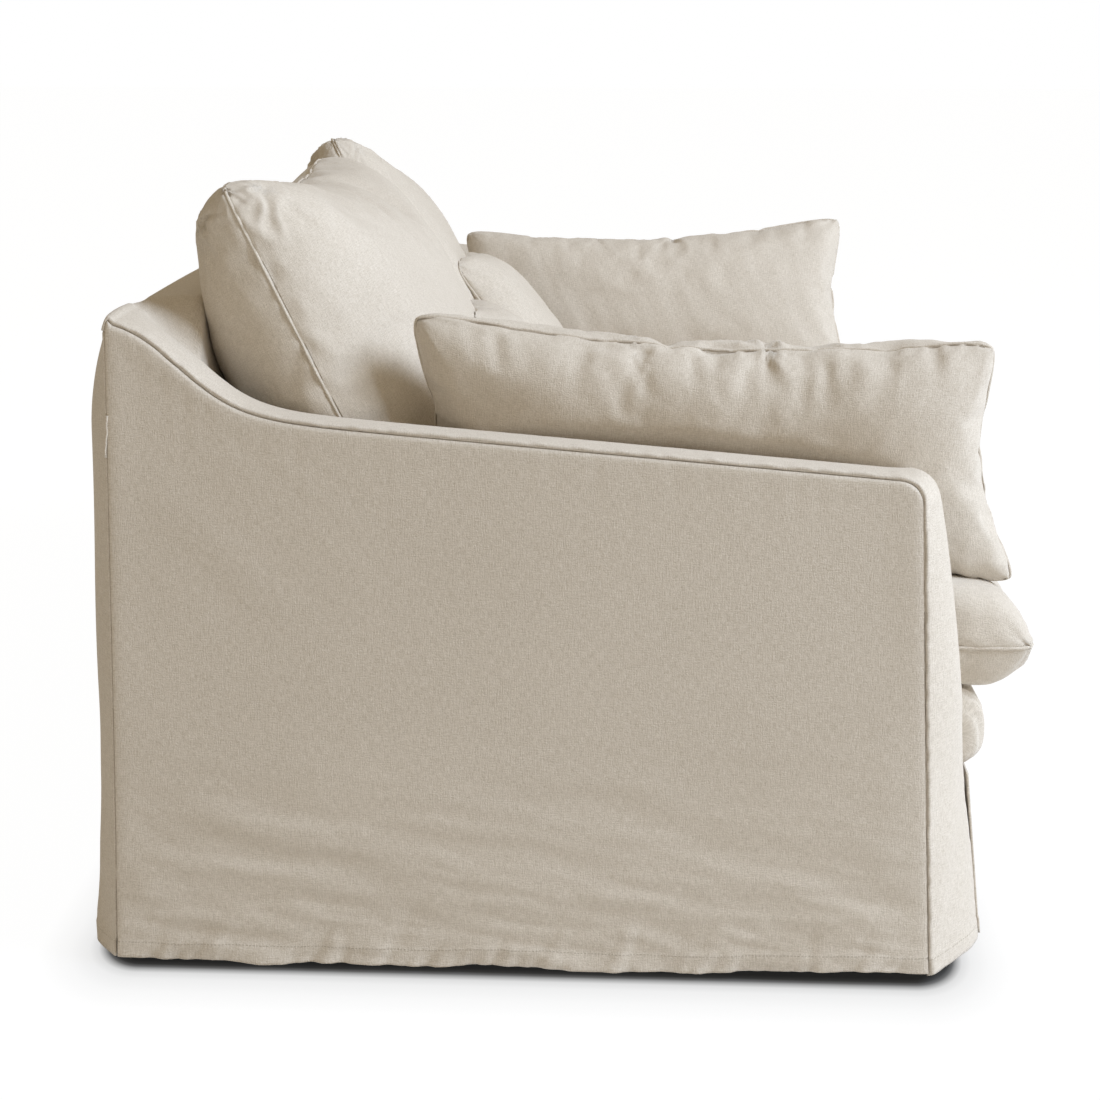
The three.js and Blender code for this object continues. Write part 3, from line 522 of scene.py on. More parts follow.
outsideBack = dict(columns=300, rows=110, ripple=0.0022, broad=0.0020, hemPucker=0.0011, hemWave=0.003)


def backSwell(x, height):
    crown = mix(cover["backHemCrown"], cover["backCrown"], smooth(height / cover["foldReach"])) + rearLean(height)
    crown = crown + cover["backSag"] * np.exp(-((height - 0.38) / 0.17) ** 2)
    inward = np.clip((sideX(height) - np.abs(x)) / cover["backCornerWidth"], 0, 1)
    closes = smooth((backHeight - height) / cover["backTopClose"]) ** 0.4
    return crown * closes * np.sin(math.pi / 2 * inward)


def makeOutsideBack():
    look = outsideBack
    u = np.linspace(-1, 1, look["columns"] + 1)[None, :]
    u = np.sign(u) * (1 - (1 - np.abs(u)) ** 1.5)
    v = np.linspace(0, 1, look["rows"] + 1)[:, None]
    v = mix(v, v ** 2, 0.3)
    height = mix(hemHeight, rearEdge - 2 * gap, v)
    x = u * sideX(height)
    toEdge = np.minimum(sideX(height) - np.abs(x), rearEdge - height)
    low = smooth((0.36 - height) / 0.36)
    folds = look["broad"] * softNoise(x / 0.4, height / 0.25, 401)
    folds += look["ripple"] * low * ripples(x, height, 7, 0.22, 0.052, 403)
    folds += 0.6 * look["ripple"] * low * ripples(x, height, 66, 0.25, 0.060, 407)
    fromHem = height - hemHeight
    folds += look["hemPucker"] * np.exp(-fromHem / 0.03) * ripples(x, height, 60, 0.06, 0.017, 411)
    folds *= smooth(toEdge / 0.05)
    folds += hemPly(fromHem)
    wave = hemWave(look["hemWave"], x / 0.11, 415, fromHem) * smooth(toEdge / 0.1)
    points = place(x, -(backSwell(x, height) + folds), height + wave)
    layCloth("back_panel", "outside_back", points, pairs(x, height), fromHem, True,
             flat=(2.10, 0.77), held="hung", rests_on=["back_board"])


makeOutsideBack()


# Inside back, from the rear top edge over the top and down to the deck

insideBack = dict(columns=220, ripple=0.0016, counts=(12, 14, 12, 40), endDepth=0.108, endReach=0.100)


def insideBackDepth(height):
    fall = (backHeight - height) / (backHeight - deckHeight)
    return backTop + (backFoot - backTop) * fall


def makeInsideBack():
    top, front, corner = backHeight, backTop, cover["topRound"]
    faceTop = top - corner
    foot = (backFoot, deckHeight + gap)
    counts = insideBack["counts"]
    stretches = [
        curve((0.0003, rearEdge), (0.0003, top), (cover["rearRound"], top), counts[0]),
        curve((cover["rearRound"], top), ((cover["rearRound"] + front) / 2, top), (front - corner, top), counts[1]),
        curve((front - corner, top), (front, top), (insideBackDepth(faceTop), faceTop), counts[2]),
        curve((insideBackDepth(faceTop), faceTop), (insideBackDepth(0.55), 0.55), foot, counts[3]),
    ]
    profile = np.concatenate([stretches[0]] + [s[1:] for s in stretches[1:]])
    # At its ends the top follows the inner edge of the arm band, then drops to the deck
    edge = armPath[armPath[:, 0] < insideBack["endDepth"]]
    edge = edge[:np.argmax(edge[:, 0]) + 1]
    normal = outward(armPath)[:len(edge)]
    edge = edge + normal * bandSwell(edge[:, 1], normal[:, 0], normal[:, 1], edge[:, 0], 1.0)[:, None]
    drop = curve(edge[-1], (insideBack["endDepth"] + 0.012, edge[-1][1] - 0.02), foot, counts[3])
    end = np.concatenate([resample(edge, len(profile) - counts[3] + 1), drop[1:]])
    normal = outward(profile)
    length = along(profile)[:, None]
    x = np.linspace(-1, 1, insideBack["columns"] + 1)[None, :]
    x = np.sign(x) * (1 - (1 - np.abs(x)) ** 1.4) * (innerHalf - gap)
    toEnd = innerHalf - np.abs(x)
    atEnd = 1 - smooth(toEnd / insideBack["endReach"])
    folds = insideBack["ripple"] * ripples(x, length, 4, 0.3, 0.07, 501) * smooth(toEnd / 0.05)
    folds = folds * smooth(length / 0.03)
    depth = mix(profile[:, :1] + normal[:, :1] * folds, end[:, :1], atEnd)
    height = mix(profile[:, 1:] + normal[:, 1:] * folds, end[:, 1:], atEnd)
    layCloth("back_top_and_inside", "inside_back", place(x, depth, height), pairs(x, length), turnRows=True,
             flat=(1.80, 0.60), held="stretched", rests_on=["back_pad", "back_top_rail"], area=1.00)


makeInsideBack()


# Inside arm panels

def makeInsideArm(word, side, seed):
    inset = cover["cloth"] + 2 * gap + cover["bandInnerDrop"]
    path = resample(armTopPath, 141)
    path = path - outward(path) * inset
    path = path[path[:, 0] > backTop + gap]
    topDepth, topZ = path.T[:, None]
    share = (topDepth - backTop) / (seamDepth - backTop)
    footDepth = mix(backFoot + gap, frontSeamAt(deckHeight) - inset, share)
    v = np.linspace(0, 1, 61)[:, None]
    depth = mix(footDepth, topDepth, v)
    height = mix(deckHeight + gap, topZ, v)
    folds = 0.0008 * softNoise(depth / 0.2, height / 0.12, seed)
    points = place(side * (innerHalf + folds), depth, height)
    layCloth(f"inside_arm_panel_{word}", f"inside_arm_{word}", points, pairs(depth, height), None, side < 0, True,
             flat=(0.87, 0.42), held="stretched", rests_on=[f"arm_foam_{word}"], area=0.25)


for word, side, seed in (("right", -1, 520), ("left", 1, 540)):
    makeInsideArm(word, side, seed)


# Seat deck cover, front roll, skirt and its corner pleats

bolster = dict(
    columns=420, sides=84, capSteps=20, capRound=0.026, boxiness=2.6, puff=0.0022,
    gather=0.0030, gatherReach=0.030, gatherPitch=0.017,
)
skirt = dict(setBack=0.006, flare=0.021, fold=0.004, foldPitch=0.260, wave=0.003)
pleat = dict(width=0.070, over=0.002, clear=0.001, ripple=0.001)


def makeDeckCover():
    x = np.linspace(-innerHalf + gap, innerHalf - gap, 41)[None, :]
    depth = np.linspace(backFoot + gap, rollBack - gap, 31)[:, None]
    points = place(x, depth, deckHeight - 0.0004)
    layCloth("deck_cloth", "seat_deck_cover", points, pairs(x, depth), turnRows=True,
             flat=(1.80, 0.84), held="stretched", rests_on=["deck_pad"])


def roundPower(wave):
    # Cosine or sine of a rounded box
    return np.sign(wave) * np.abs(wave) ** (2 / bolster["boxiness"])


def makeFrontRoll():
    # A closed bolster: a rounded section carried along, with gathered folds towards its round ends
    deck, foot = deckHeight - gap, cover["rollBottom"] + gap
    halfDepth, halfHeight = (rollFront - rollBack) / 2 - gap, (deck - foot) / 2
    half = innerHalf - 2 * gap
    cap = np.linspace(0, math.pi / 2, bolster["capSteps"])[1:]
    straight = half - bolster["capRound"]
    body = np.linspace(-1, 1, bolster["columns"]) * straight
    capX, capSize = straight + bolster["capRound"] * np.sin(cap), np.cos(cap) ** 0.6
    x = np.concatenate([-capX[::-1], body, capX])
    size = np.concatenate([capSize[::-1], np.ones(len(body)), capSize])[:, None]
    turn = np.linspace(0, 2 * math.pi, bolster["sides"], endpoint=False)[None, :]
    toEnd = (half - np.abs(x))[:, None]
    rings = 2 * math.pi * toEnd / bolster["gatherPitch"]
    wave = np.cos(rings * (1 + 0.5 * np.sin(turn)) + 0.8 * np.sin(2 * turn)) + 0.5 * np.sin(5 * turn + rings)
    out = bolster["gather"] * np.exp(-toEnd / bolster["gatherReach"]) * wave
    out = 1 + (out + bolster["puff"] * softNoise(x[:, None] / 0.15, np.cos(turn) * 2, 601)) / halfDepth
    ahead = halfDepth * roundPower(np.cos(turn)) * size * out
    lift = halfHeight * roundPower(np.sin(turn)) * size * np.minimum(out, 1)
    centres = place(x, (rollBack + rollFront) / 2, (deck + foot) / 2)
    forward, upward = (np.broadcast_to(np.array(way, float), centres.shape) for way in ((0, -1, 0), (0, 0, 1)))
    piece = makeTube("front_roll", centres, forward, upward, pairs(ahead, lift), linen)
    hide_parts("front_roll_cover", "front_roll_pad")


def makeSkirt():
    v = np.linspace(0, 1, 57)[:, None]
    height = mix(hemHeight, cover["rollBottom"] - gap, v)
    x = np.linspace(-innerHalf + gap, innerHalf - gap, 301)[None, :]
    low = 1 - v
    fold = skirt["fold"] * low * np.sin(2 * math.pi * x / skirt["foldPitch"])
    fold = fold * (1 - np.abs(x) / innerHalf)
    depth = rollFoot - skirt["setBack"] + skirt["flare"] * low + fold
    toEnd = innerHalf - np.abs(x)
    fine = 0.0018 * ripples(x, height, 78, 0.16, 0.045, 621) + 0.0010 * ripples(x, height, 12, 0.12, 0.03, 625)
    depth = depth + fine * smooth(toEnd / 0.04) * smooth(low * 6)
    fromHem = height - hemHeight
    depth = depth + hemPly(fromHem)
    points = place(x, depth, height + hemWave(skirt["wave"], x / 0.12, 629, fromHem))
    layCloth("skirt", "front_skirt", points, pairs(x, height), fromHem,
             flat=(1.80, 0.21), held="hung", rests_on=["front_rail"])


def bandInnerDepth(height):
    return frontSeamAt(height) + bandSwell(height, 1.0, 0.0, frontSeamAt(height), 1.0)


def makePleat(word, side):
    v = np.linspace(0, 1, 41)[:, None]
    u = np.linspace(0, 1, 15)[None, :]
    height = mix(hemHeight, cover["rollBottom"] - gap, v)
    x = innerHalf + pleat["over"] - pleat["width"] * u
    depth = bandInnerDepth(height) - cover["cloth"] - pleat["clear"]
    points = place(side * x, depth + pleat["ripple"] * softNoise(u * 3, height / 0.08, 641), height)
    layCloth(f"pleat_{word}", f"corner_pleat_{word}", points, pairs(x, height), height - hemHeight, side > 0,
             flat=(0.07, 0.22), held="hung", rests_on=["skirt"])


makeDeckCover()
makeFrontRoll()
makeSkirt()
for word, side in (("right", -1), ("left", 1)):
    makePleat(word, side)
print("covers made")


# Loose cushions and pillows

seatTop = 0.460
cushionGap = 0.003
pressClear = 0.003
seatFront = rollFront + 0.060
seatWidth = innerHalf - 2 * cushionGap
seatMiddle = (innerHalf - cushionGap) / 2 + cushionGap / 2
deckLimit = innerHalf - gap
stuffing = dict(
    frames=20, startShare=0.97, mapCell=0.012, earCut=0.011, earReach=0.020, mostThick=1.12,
    pucker=0.0034, puckerReach=0.030, puckerPitch=0.015, cutLoft=0.001, backShift=np.array([3.0, 1.0]),
    cloth=dict(
        quality=5, mass=0.10, tension_stiffness=40.0, compression_stiffness=40.0, shear_stiffness=5.0,
        bending_stiffness=0.05, use_pressure=True, uniform_pressure_force=0.8,
    ),
)
usual = dict(right=(1, 0, 0), turn=0, roll=0, shear=0, flare=0, pinches=[], dragAngle=20)


def evenSection(half, rise, boxiness, count):
    # Shares from -1 to 1 that step evenly along the swelling section of a cushion, and its length
    s = np.sin(np.linspace(-math.pi / 2, math.pi / 2, 4001))
    section = pairs(half * s, rise * np.sqrt(np.clip(1 - np.abs(s) ** boxiness, 0, 1)))
    return resample(section, count)[:, 0] / half, along(section)[-1]


def cushionLumps(spec, s, t, isFront):
    # Soft lumps of the stuffing, and short puckers square to the seam
    x, y = s * spec["width"] / 2, t * spec["height"] / 2
    seed = spec["seed"] + (0 if isFront else 50)
    toEnds, toSides = spec["width"] / 2 - np.abs(x), spec["height"] / 2 - np.abs(y)
    toSeam = np.minimum(toEnds, toSides)
    seamAlong = np.where(toEnds < toSides, y + 3.0, x)
    lumps = spec["lump"] * softNoise(x / 0.12, y / 0.10, seed) * smooth(toSeam / 0.05)
    lumps += 0.4 * spec["lump"] * softNoise(x / 0.05, y / 0.05, seed + 1) * smooth(toSeam / 0.03)
    puckers = stuffing["pucker"] * np.exp(-toSeam / stuffing["puckerReach"]) * smooth(toSeam / 0.004)
    return lumps + puckers * softNoise(seamAlong / stuffing["puckerPitch"], toSeam / 0.10, seed + 2)


def shearAt(spec, s):
    # The low end may slant more than the high end
    return spec["shear"] + spec["flare"] * (1 - s) / 2


def cushionAxes(spec):
    # Along, up and out of the cushion, before it is turned
    right, up = np.array(spec["right"], float), np.array(spec["up"], float)
    return np.stack([right, up, np.cross(right, up)])


def cushionFace(spec, s, t, rise):
    # Edges drawn in between the corners; swell is the square root of two falling powers
    endPower, sidePower = spec["boxiness"]
    if rise < 0:
        sidePower = spec.get("backRound", sidePower)
    swell = np.sqrt(np.clip(1 - np.abs(s) ** endPower, 0, 1) * np.clip(1 - np.abs(t) ** sidePower, 0, 1))
    drawnLow, drawnHigh, drawnSides = spec["drawnIn"]
    flatAlong = spec["width"] / 2 * s * (1 - np.where(s < 0, drawnLow, drawnHigh) * (1 - t * t))
    flatUp = spec["height"] / 2 * t * (1 - drawnSides * (1 - s * s))
    fromCorner = (1 - np.abs(s)) * spec["width"] / 2 + (1 - np.abs(t)) * spec["height"] / 2
    ear = stuffing["earCut"] * np.exp(-fromCorner / stuffing["earReach"])
    flatAlong, flatUp = flatAlong - np.sign(s) * ear, flatUp - np.sign(t) * ear
    rise = rise * swell + math.copysign(1, rise) * cushionLumps(spec, s, t, rise > 0)
    roll, turn = math.radians(spec["roll"]), math.radians(spec["turn"])
    sheared = flatAlong + shearAt(spec, s) * flatUp
    alongRoll = sheared * math.cos(roll) - flatUp * math.sin(roll)
    lift = sheared * math.sin(roll) + flatUp * math.cos(roll)
    right, up, out = cushionAxes(spec)
    x, y, z = np.moveaxis(alongRoll[..., None] * right + lift[..., None] * up + rise[..., None] * out, -1, 0)
    x, y = x * math.cos(turn) - y * math.sin(turn), x * math.sin(turn) + y * math.cos(turn)
    cx, cd, cz = spec["centre"]
    return np.stack([x + cx, y + seamLine - cd, z + cz], -1)


def seamedGrid(columns, rows):
    # Corner numbers of two grids that share their edge, front first
    frontIndex = numbered(rows + 1, columns + 1)
    backIndex = frontIndex.copy()
    backIndex[1:-1, 1:-1] = frontIndex.size + numbered(rows - 1, columns - 1)
    return frontIndex, backIndex


def around(index):
    # The edge of a grid as one closed line
    return np.concatenate([index[0, :-1], index[:-1, -1], index[-1, :0:-1], index[:0:-1, 0]])


cushions = {}


def makeCushion(name, node, fill, rest, **spec):
    spec = {**usual, **spec}
    columns, rows = spec["grid"]
    rise = max(spec["front"], spec["back"])
    s, cutWidth = evenSection(spec["width"] / 2, rise, spec["boxiness"][0], columns + 1)
    t, cutHeight = evenSection(spec["height"] / 2, rise, spec["boxiness"][1], rows + 1)
    s, t = np.broadcast_arrays(s[None, :], t[:, None])
    frontIndex, backIndex = seamedGrid(columns, rows)
    points = np.zeros((backIndex.max() + 1, 3))
    points[backIndex.ravel()] = cushionFace(spec, s, t, -spec["back"]).reshape(-1, 3)
    points[frontIndex.ravel()] = cushionFace(spec, s, t, spec["front"]).reshape(-1, 3)
    corners = gridQuads(frontIndex)
    quads = np.concatenate([corners, gridQuads(backIndex)[:, ::-1]])
    across, upward = np.meshgrid(np.linspace(-0.5, 0.5, columns + 1), np.linspace(-0.5, 0.5, rows + 1))
    plan = pairs(across * cutWidth, upward * cutHeight).reshape(-1, 2)
    plan[:, 0] += shearAt(spec, 2 * across.ravel()) * plan[:, 1]
    cut = np.zeros_like(points)
    cut[backIndex.ravel(), :2] = cut[frontIndex.ravel(), :2] = plan
    cut[frontIndex[1:-1, 1:-1].ravel(), 2] = stuffing["cutLoft"]
    shifted = plan + stuffing["backShift"]
    uvs = np.concatenate([plan[corners.ravel()], shifted[corners[:, ::-1].ravel()]])
    piece = makePiece(name, points, quads, uvs, linen)
    inner = np.ix_(np.clip(np.arange(rows + 1), 1, rows - 1), np.clip(np.arange(columns + 1), 1, columns - 1))
    ring = [around(grid) for grid in (frontIndex, frontIndex[inner], backIndex[inner])]
    cushions[name] = dict(piece=piece, points=points, cut=cut, ring=ring, spec=spec, rest=rest)
    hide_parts(node)


for word, side in (("right", -1), ("left", 1)):
    seam = mix(deckHeight, seatTop, 0.38)

    def restSeat(points, side=side):
        x = side * np.clip(side * points[:, 0], cushionGap / 2, deckLimit)
        return np.stack([x, points[:, 1], np.clip(points[:, 2], deckHeight + gap, seatTop)], 1)

    makeCushion(
        f"seat_pad_{word}", f"seat_cushion_{word}", 0.8, restSeat, seed=800, lump=0.003, grid=(72, 70), cap=0.006,
        width=seatWidth, height=seatFront - backFoot - cushionGap, boxiness=(34, 9), drawnIn=(0.010, 0.010, 0.012),
        front=(seatTop - seam) * 1.03, back=(seam - deckHeight) * 1.45, up=(0, 1, 0),
        centre=(side * seatMiddle, (seatFront + backFoot + cushionGap) / 2, seam),
    )


def reliefMap(names, axis, sign):
    # How high the named cushions reach along an axis, on a grid of the other two
    points = sign * np.concatenate([cushions[name]["points"] for name in names])
    others = [k for k in range(3) if k != axis]
    cell = stuffing["mapCell"]
    low = points[:, others].min(0) - 2 * cell
    size = np.ceil((points[:, others].max(0) - low) / cell).astype(int) + 3
    table = np.full(size, -9.0)
    spots = np.round((points[:, others] - low) / cell).astype(int)
    np.maximum.at(table, (spots[:, 0], spots[:, 1]), points[:, axis])
    spread = np.maximum.reduce([np.roll(table, (i, j), (0, 1)) for i in (-1, 0, 1) for j in (-1, 0, 1)])
    table = np.where(table < -8, spread, table)

    def reach(where):
        at = np.clip((sign * where[:, others] - low) / cell, 0, size - 1.001)
        i, f = np.floor(at).astype(int), at - np.floor(at)
        near = mix(table[i[:, 0], i[:, 1]], table[i[:, 0] + 1, i[:, 1]], f[:, 0])
        far = mix(table[i[:, 0], i[:, 1] + 1], table[i[:, 0] + 1, i[:, 1] + 1], f[:, 0])
        return sign * mix(near, far, f[:, 1])
    return reach


seatReach = {}


def onSeatAndBack(points):
    wall = insideBackDepth(np.minimum(points[:, 2], backHeight)) + gap
    y = np.minimum(points[:, 1], seamLine - wall)
    x = np.clip(points[:, 0], -deckLimit, deckLimit)
    points = np.stack([x, y, points[:, 2]], 1)
    z = np.maximum(points[:, 2], np.minimum(seatReach["top"](points) + gap, seatTop + gap))
    return np.stack([x, y, z], 1)


# Word, side, lean and depth and height of the middle, swell, turn, roll
backPlaces = [
    ("right", -1, 27.0, 0.2590, 0.676, 0.120, 1.3, 1.8),
    ("left", 1, 25.0, 0.2165, 0.653, 0.090, 9.0, 6.0),
]
for word, side, lean, depth, middle, swell, turn, roll in backPlaces:
    lean = math.radians(lean)

    def restBack(points, side=side):
        x, y, z = onSeatAndBack(points).T
        return np.stack([side * np.maximum(cushionGap / 2, side * x), y, z], 1)

    makeCushion(
        f"back_pad_{word}", f"back_cushion_{word}", 0.7, restBack, seed=820 + side, lump=0.005, grid=(88, 60),
        cap=0.028, width=seatWidth, height=0.575, front=swell, back=0.150, boxiness=(7.5, 4.2), backRound=3.5,
        drawnIn=(0.030, 0.030, 0.040), pinches=[(-0.365, 0.215, 0.0060, 0.07)], turn=turn, roll=-roll,
        up=(0, math.sin(lean), math.cos(lean)), centre=(side * seatMiddle, depth, middle),
    )


def beforeBackCushions(points):
    points = onSeatAndBack(points)
    y = np.minimum(points[:, 1], seatReach["front"](points) - gap)
    return np.stack([points[:, 0], y, points[:, 2]], 1)


# Word, side, width, depth and height of the middle, roll, slant, extra slant of the low end, drawing in
armPillows = [
    ("right", -1, 0.726, 0.730, 0.610, 2.5, 0.136, 0.050, (0.064, 0.030, 0.125)),
    ("left", 1, 0.745, 0.6505, 0.572, 2.4, 0.0, 0.0, (0.050, 0.035, 0.140)),
]
pillowLean, lumbarLean = math.radians(15.0), math.radians(36.0)
for word, side, width, depth, middle, roll, shear, flare, drawnIn in armPillows:

    def restPillow(points, side=side):
        depth = np.maximum(cover["rearRound"], seamLine - points[:, 1])
        overhang = 0.8 * np.maximum(0, points[:, 2] - armLine(depth) + cover["bandInnerDrop"] - 0.006)
        x = side * np.minimum(deckLimit - pressClear + overhang, side * points[:, 0])
        rested = beforeBackCushions(np.stack([x, points[:, 1], points[:, 2]], 1))
        return np.stack([x, rested[:, 1], rested[:, 2]], 1)

    makeCushion(
        f"arm_pad_pillow_{word}", f"arm_pillow_{word}", 0.7, restPillow, seed=840 + side, lump=0.005, grid=(92, 46),
        cap=0.020, width=width, height=0.336, front=0.150 * 0.55, back=0.150 * 0.45, boxiness=(4, 4), drawnIn=drawnIn,
        dragAngle=-70, pinches=[(side * 0.035, 0.165, 0.0050, 0.075), (side * -0.10, 0.150, 0.0026, 0.05)],
        roll=roll, shear=shear, flare=flare, right=(0, -side, 0),
        up=(side * math.sin(pillowLean), 0, math.cos(pillowLean)), centre=(side * (innerHalf - 0.068), depth, middle),
    )

for word, x, depth, middle in (("right", -0.150, 0.434, 0.560), ("left", 0.410, 0.390, 0.578)):
    makeCushion(
        f"small_pillow_{word}", f"lumbar_pillow_{word}", 0.65, beforeBackCushions, seed=860 + round(10 * x),
        lump=0.004, grid=(66, 44), cap=0.020, width=0.520, height=0.335, front=0.140 * 0.55, back=0.140 * 0.45,
        drawnIn=(0.045, 0.045, 0.060), turn=8.0, roll=-6.0, up=(0, math.sin(lumbarLean), math.cos(lumbarLean)),
        boxiness=(4, 4), centre=(x, depth, middle),
    )
print("cushions laid out")


def backToSize(filled, item):
    # Filling draws the seams in, so the cushion is let out again to its width and height, and a
    # thickness that swelled too much is eased
    turn = math.radians(item["spec"]["turn"])
    spin = np.array([[math.cos(turn), -math.sin(turn), 0], [math.sin(turn), math.cos(turn), 0], [0, 0, 1]])
    axes = cushionAxes(item["spec"]) @ spin.T
    wanted, found = item["points"] @ axes.T, filled @ axes.T
    ratio = np.ptp(wanted, axis=0) / np.ptp(found, axis=0)
    ratio[2] = min(1, ratio[2] * stuffing["mostThick"])
    middle = (found.max(0) + found.min(0)) / 2
    home = (wanted.max(0) + wanted.min(0)) / 2
    return ((found - middle) * ratio + home) @ axes


def fillCushions():
    # Each cushion is cut flat, sewn round its edge and blown up a little, as stuffing does
    for item in cushions.values():
        piece, points = item["piece"], item["points"]
        centre = points.mean(0)
        start = centre + (points - centre) * stuffing["startShare"]
        piece.data.vertices.foreach_set("co", start.ravel())
        piece.shape_key_add(name="start")
        flatCut = piece.shape_key_add(name="cut")
        flatCut.data.foreach_set("co", item["cut"].ravel())
        fill = piece.modifiers.new("filling", "CLOTH")
        put(fill.settings, rest_shape_key=flatCut, **stuffing["cloth"])
        fill.settings.effector_weights.gravity = 0
        fill.collision_settings.use_collision = False
        put(fill.point_cache, frame_start=1, frame_end=stuffing["frames"])
    scene = bpy.context.scene
    for number in range(1, stuffing["frames"] + 1):
        scene.frame_set(number)
    graph = bpy.context.evaluated_depsgraph_get()
    for name, item in cushions.items():
        piece, points = item["piece"], item["points"]
        filled = readArray(piece.evaluated_get(graph).data.vertices, "co", 3)
        move = backToSize(filled, item) - points
        far = np.linalg.norm(move, axis=1)[:, None]
        print(name, "moved", round(float(far.mean()), 4), round(float(far.max()), 4))
        item["points"] = points + move * np.minimum(1, item["spec"]["cap"] / np.maximum(far, 1e-9))
        piece.modifiers.clear()
        piece.shape_key_clear()
    scene.frame_set(1)


fillCushions()


crease = dict(
    ear=0.0034, earReach=0.085, earTurns=5.0, edge=0.0030, edgeReach=0.045, edgePitch=0.021,
    groupPitch=0.12, drag=0.0011, dragPitch=0.030, ditchIn=0.0030, ditchOut=0.0006, ditch=0.00055,
)


def ridged(value):
    # Sharp at the crests and soft in the hollows
    return 1 - 2 * np.sqrt(value * value + 0.004)


def creaseHeights(spec, x, y, seed):
    # Folds that fan out of each corner, bunches of short folds square to the seam, and long faint drags
    halfWide, halfHigh = spec["width"] / 2, spec["height"] / 2
    toEnds, toSides = np.maximum(halfWide - np.abs(x), 0), np.maximum(halfHigh - np.abs(y), 0)
    toSeam = np.minimum(toEnds, toSides)
    reach = np.hypot(toEnds, toSides)
    fan = np.arctan2(toSides, toEnds) / (math.pi / 2) * crease["earTurns"] + 7 * (x > 0) + 13 * (y > 0)
    total = crease["ear"] * np.exp(-reach / crease["earReach"]) * ridged(softNoise(fan, reach / 0.07, seed))
    seamAlong = np.where(toEnds < toSides, y + 3.0, x)
    bunch = smooth(0.5 + 1.1 * softNoise(seamAlong / crease["groupPitch"], 0.5, seed + 1))
    lean = seamAlong + 0.35 * toSeam * softNoise(seamAlong / 0.09, 0.5, seed + 2)
    bunch = crease["edge"] * bunch * np.exp(-toSeam / crease["edgeReach"])
    total = total + bunch * ridged(softNoise(lean / crease["edgePitch"], toSeam / 0.06, seed + 3))
    total = total + crease["drag"] * ripples(x, y, spec["dragAngle"], 0.16, crease["dragPitch"], seed + 4)
    for px, py, height, size in spec["pinches"]:
        r = np.hypot(x - px, y - py)
        spokes = np.arctan2(y - py, x - px) * 2.2
        total = total + height * np.exp(-r / size) * ridged(softNoise(spokes + 20, r / 0.05, seed + 5))
    return total * smooth(toSeam / 0.006)


def pressCreases(item):
    # The skin is made finer once, and the creases are pressed in square to it
    piece, spec = item["piece"], item["spec"]
    put(piece.modifiers.new("finer", "SUBSURF"), levels=1, render_levels=1)
    graph = bpy.context.evaluated_depsgraph_get()
    skin = bpy.data.meshes.new_from_object(piece.evaluated_get(graph))
    piece.modifiers.clear()
    spots, normals = (readArray(skin.vertices, key, 3) for key in ("co", "normal"))
    owner = readArray(skin.loops, "vertex_index", 1, np.int32)[:, 0]
    plan = np.zeros((len(spots), 2))
    plan[owner] = readArray(skin.uv_layers["flat"].data, "uv", 2, np.float32)
    isBack = plan[:, 0] > stuffing["backShift"][0] / 2
    plan[isBack] -= stuffing["backShift"]
    wide, high = np.ptp(plan[:, 0]), np.ptp(plan[:, 1])
    x, y = plan[:, 0] * spec["width"] / wide, plan[:, 1] * spec["height"] / high
    front, back = (creaseHeights(spec, x, y, spec["seed"] + step) for step in (200, 240))
    spots = item["rest"](spots + normals * np.where(isBack, back, front)[:, None])
    skin.vertices.foreach_set("co", spots.ravel())
    skin.update()
    piece.data = skin


def layCushions():
    # Seats first, then the back cushions on them, then the pillows against both
    order = [("seat_pad", "top", 2, 1), ("back_pad", "front", 1, -1), ("arm_pad_pillow", None, 0, 0),
             ("small_pillow", None, 0, 0)]
    for kind, label, axis, sign in order:
        names = [name for name in cushions if name.startswith(kind)]
        for name in names:
            item = cushions[name]
            item["points"] = item["rest"](item["points"])
            item["piece"].data.vertices.foreach_set("co", item["points"].ravel())
            item["piece"].data.update()
            pressCreases(item)
            edge, frontInner, backInner = (item["points"][part] for part in item["ring"])
            out = unit(edge - (frontInner + backInner) / 2)
            for _ in range(2):
                out = (np.roll(out, 1, 0) + out + np.roll(out, -1, 0)) / 3
            seam = makeWelt("seam_" + name, edge + 0.0002 * out, out, closed=True, seed=item["spec"]["seed"] + 5)
            # A thin dark tube in the stitched ditch beside the welt, on the face that the seam leans to: its darker
            # colour is painted shade of the ditch
            near, far = (backInner, frontInner) if kind == "arm_pad_pillow" else (frontInner, backInner)
            across = unit(near - far)
            line = edge + crease["ditchIn"] * unit(near - edge) + crease["ditchOut"] * across
            ditch = makeWelt("ditch_" + name, line, across, crease["ditch"], True, 1, ditchShadeLinen)
        if label:
            seatReach[label] = reliefMap(names, axis, sign)


layCushions()
print("cushions filled and laid")


# Raised seams of the cover

coverSeams = dict(
    sink=0.0020, lip=0.0010, ditchIn=0.0030, ditch=0.00065, hemKink=0.008, kinkTop=0.130, kinkRun=0.050,
    tuckTop=0.682, tuckFoot=0.632, tuckWave=0.0016, tuckShift=0.0035,
)


def sewSeam(name, x, depth, z, outwards, radius=None, seed=700, material=None):
    line = place(x, depth, z)
    seam = makeWelt(name, line, np.broadcast_to(np.array(outwards, float), line.shape), radius, False, seed, material)


def sewBandSeam(name, x, raised, tilt, path, *rest):
    # A seam along the arm band, raised square to its path and tilted to one side
    normal = outward(path)
    out = np.stack([np.full(len(path), tilt), -normal[:, 0], normal[:, 1]], 1)
    sewSeam(name, x, path[:, 0] + normal[:, 0] * raised, path[:, 1] + normal[:, 1] * raised, out, *rest)


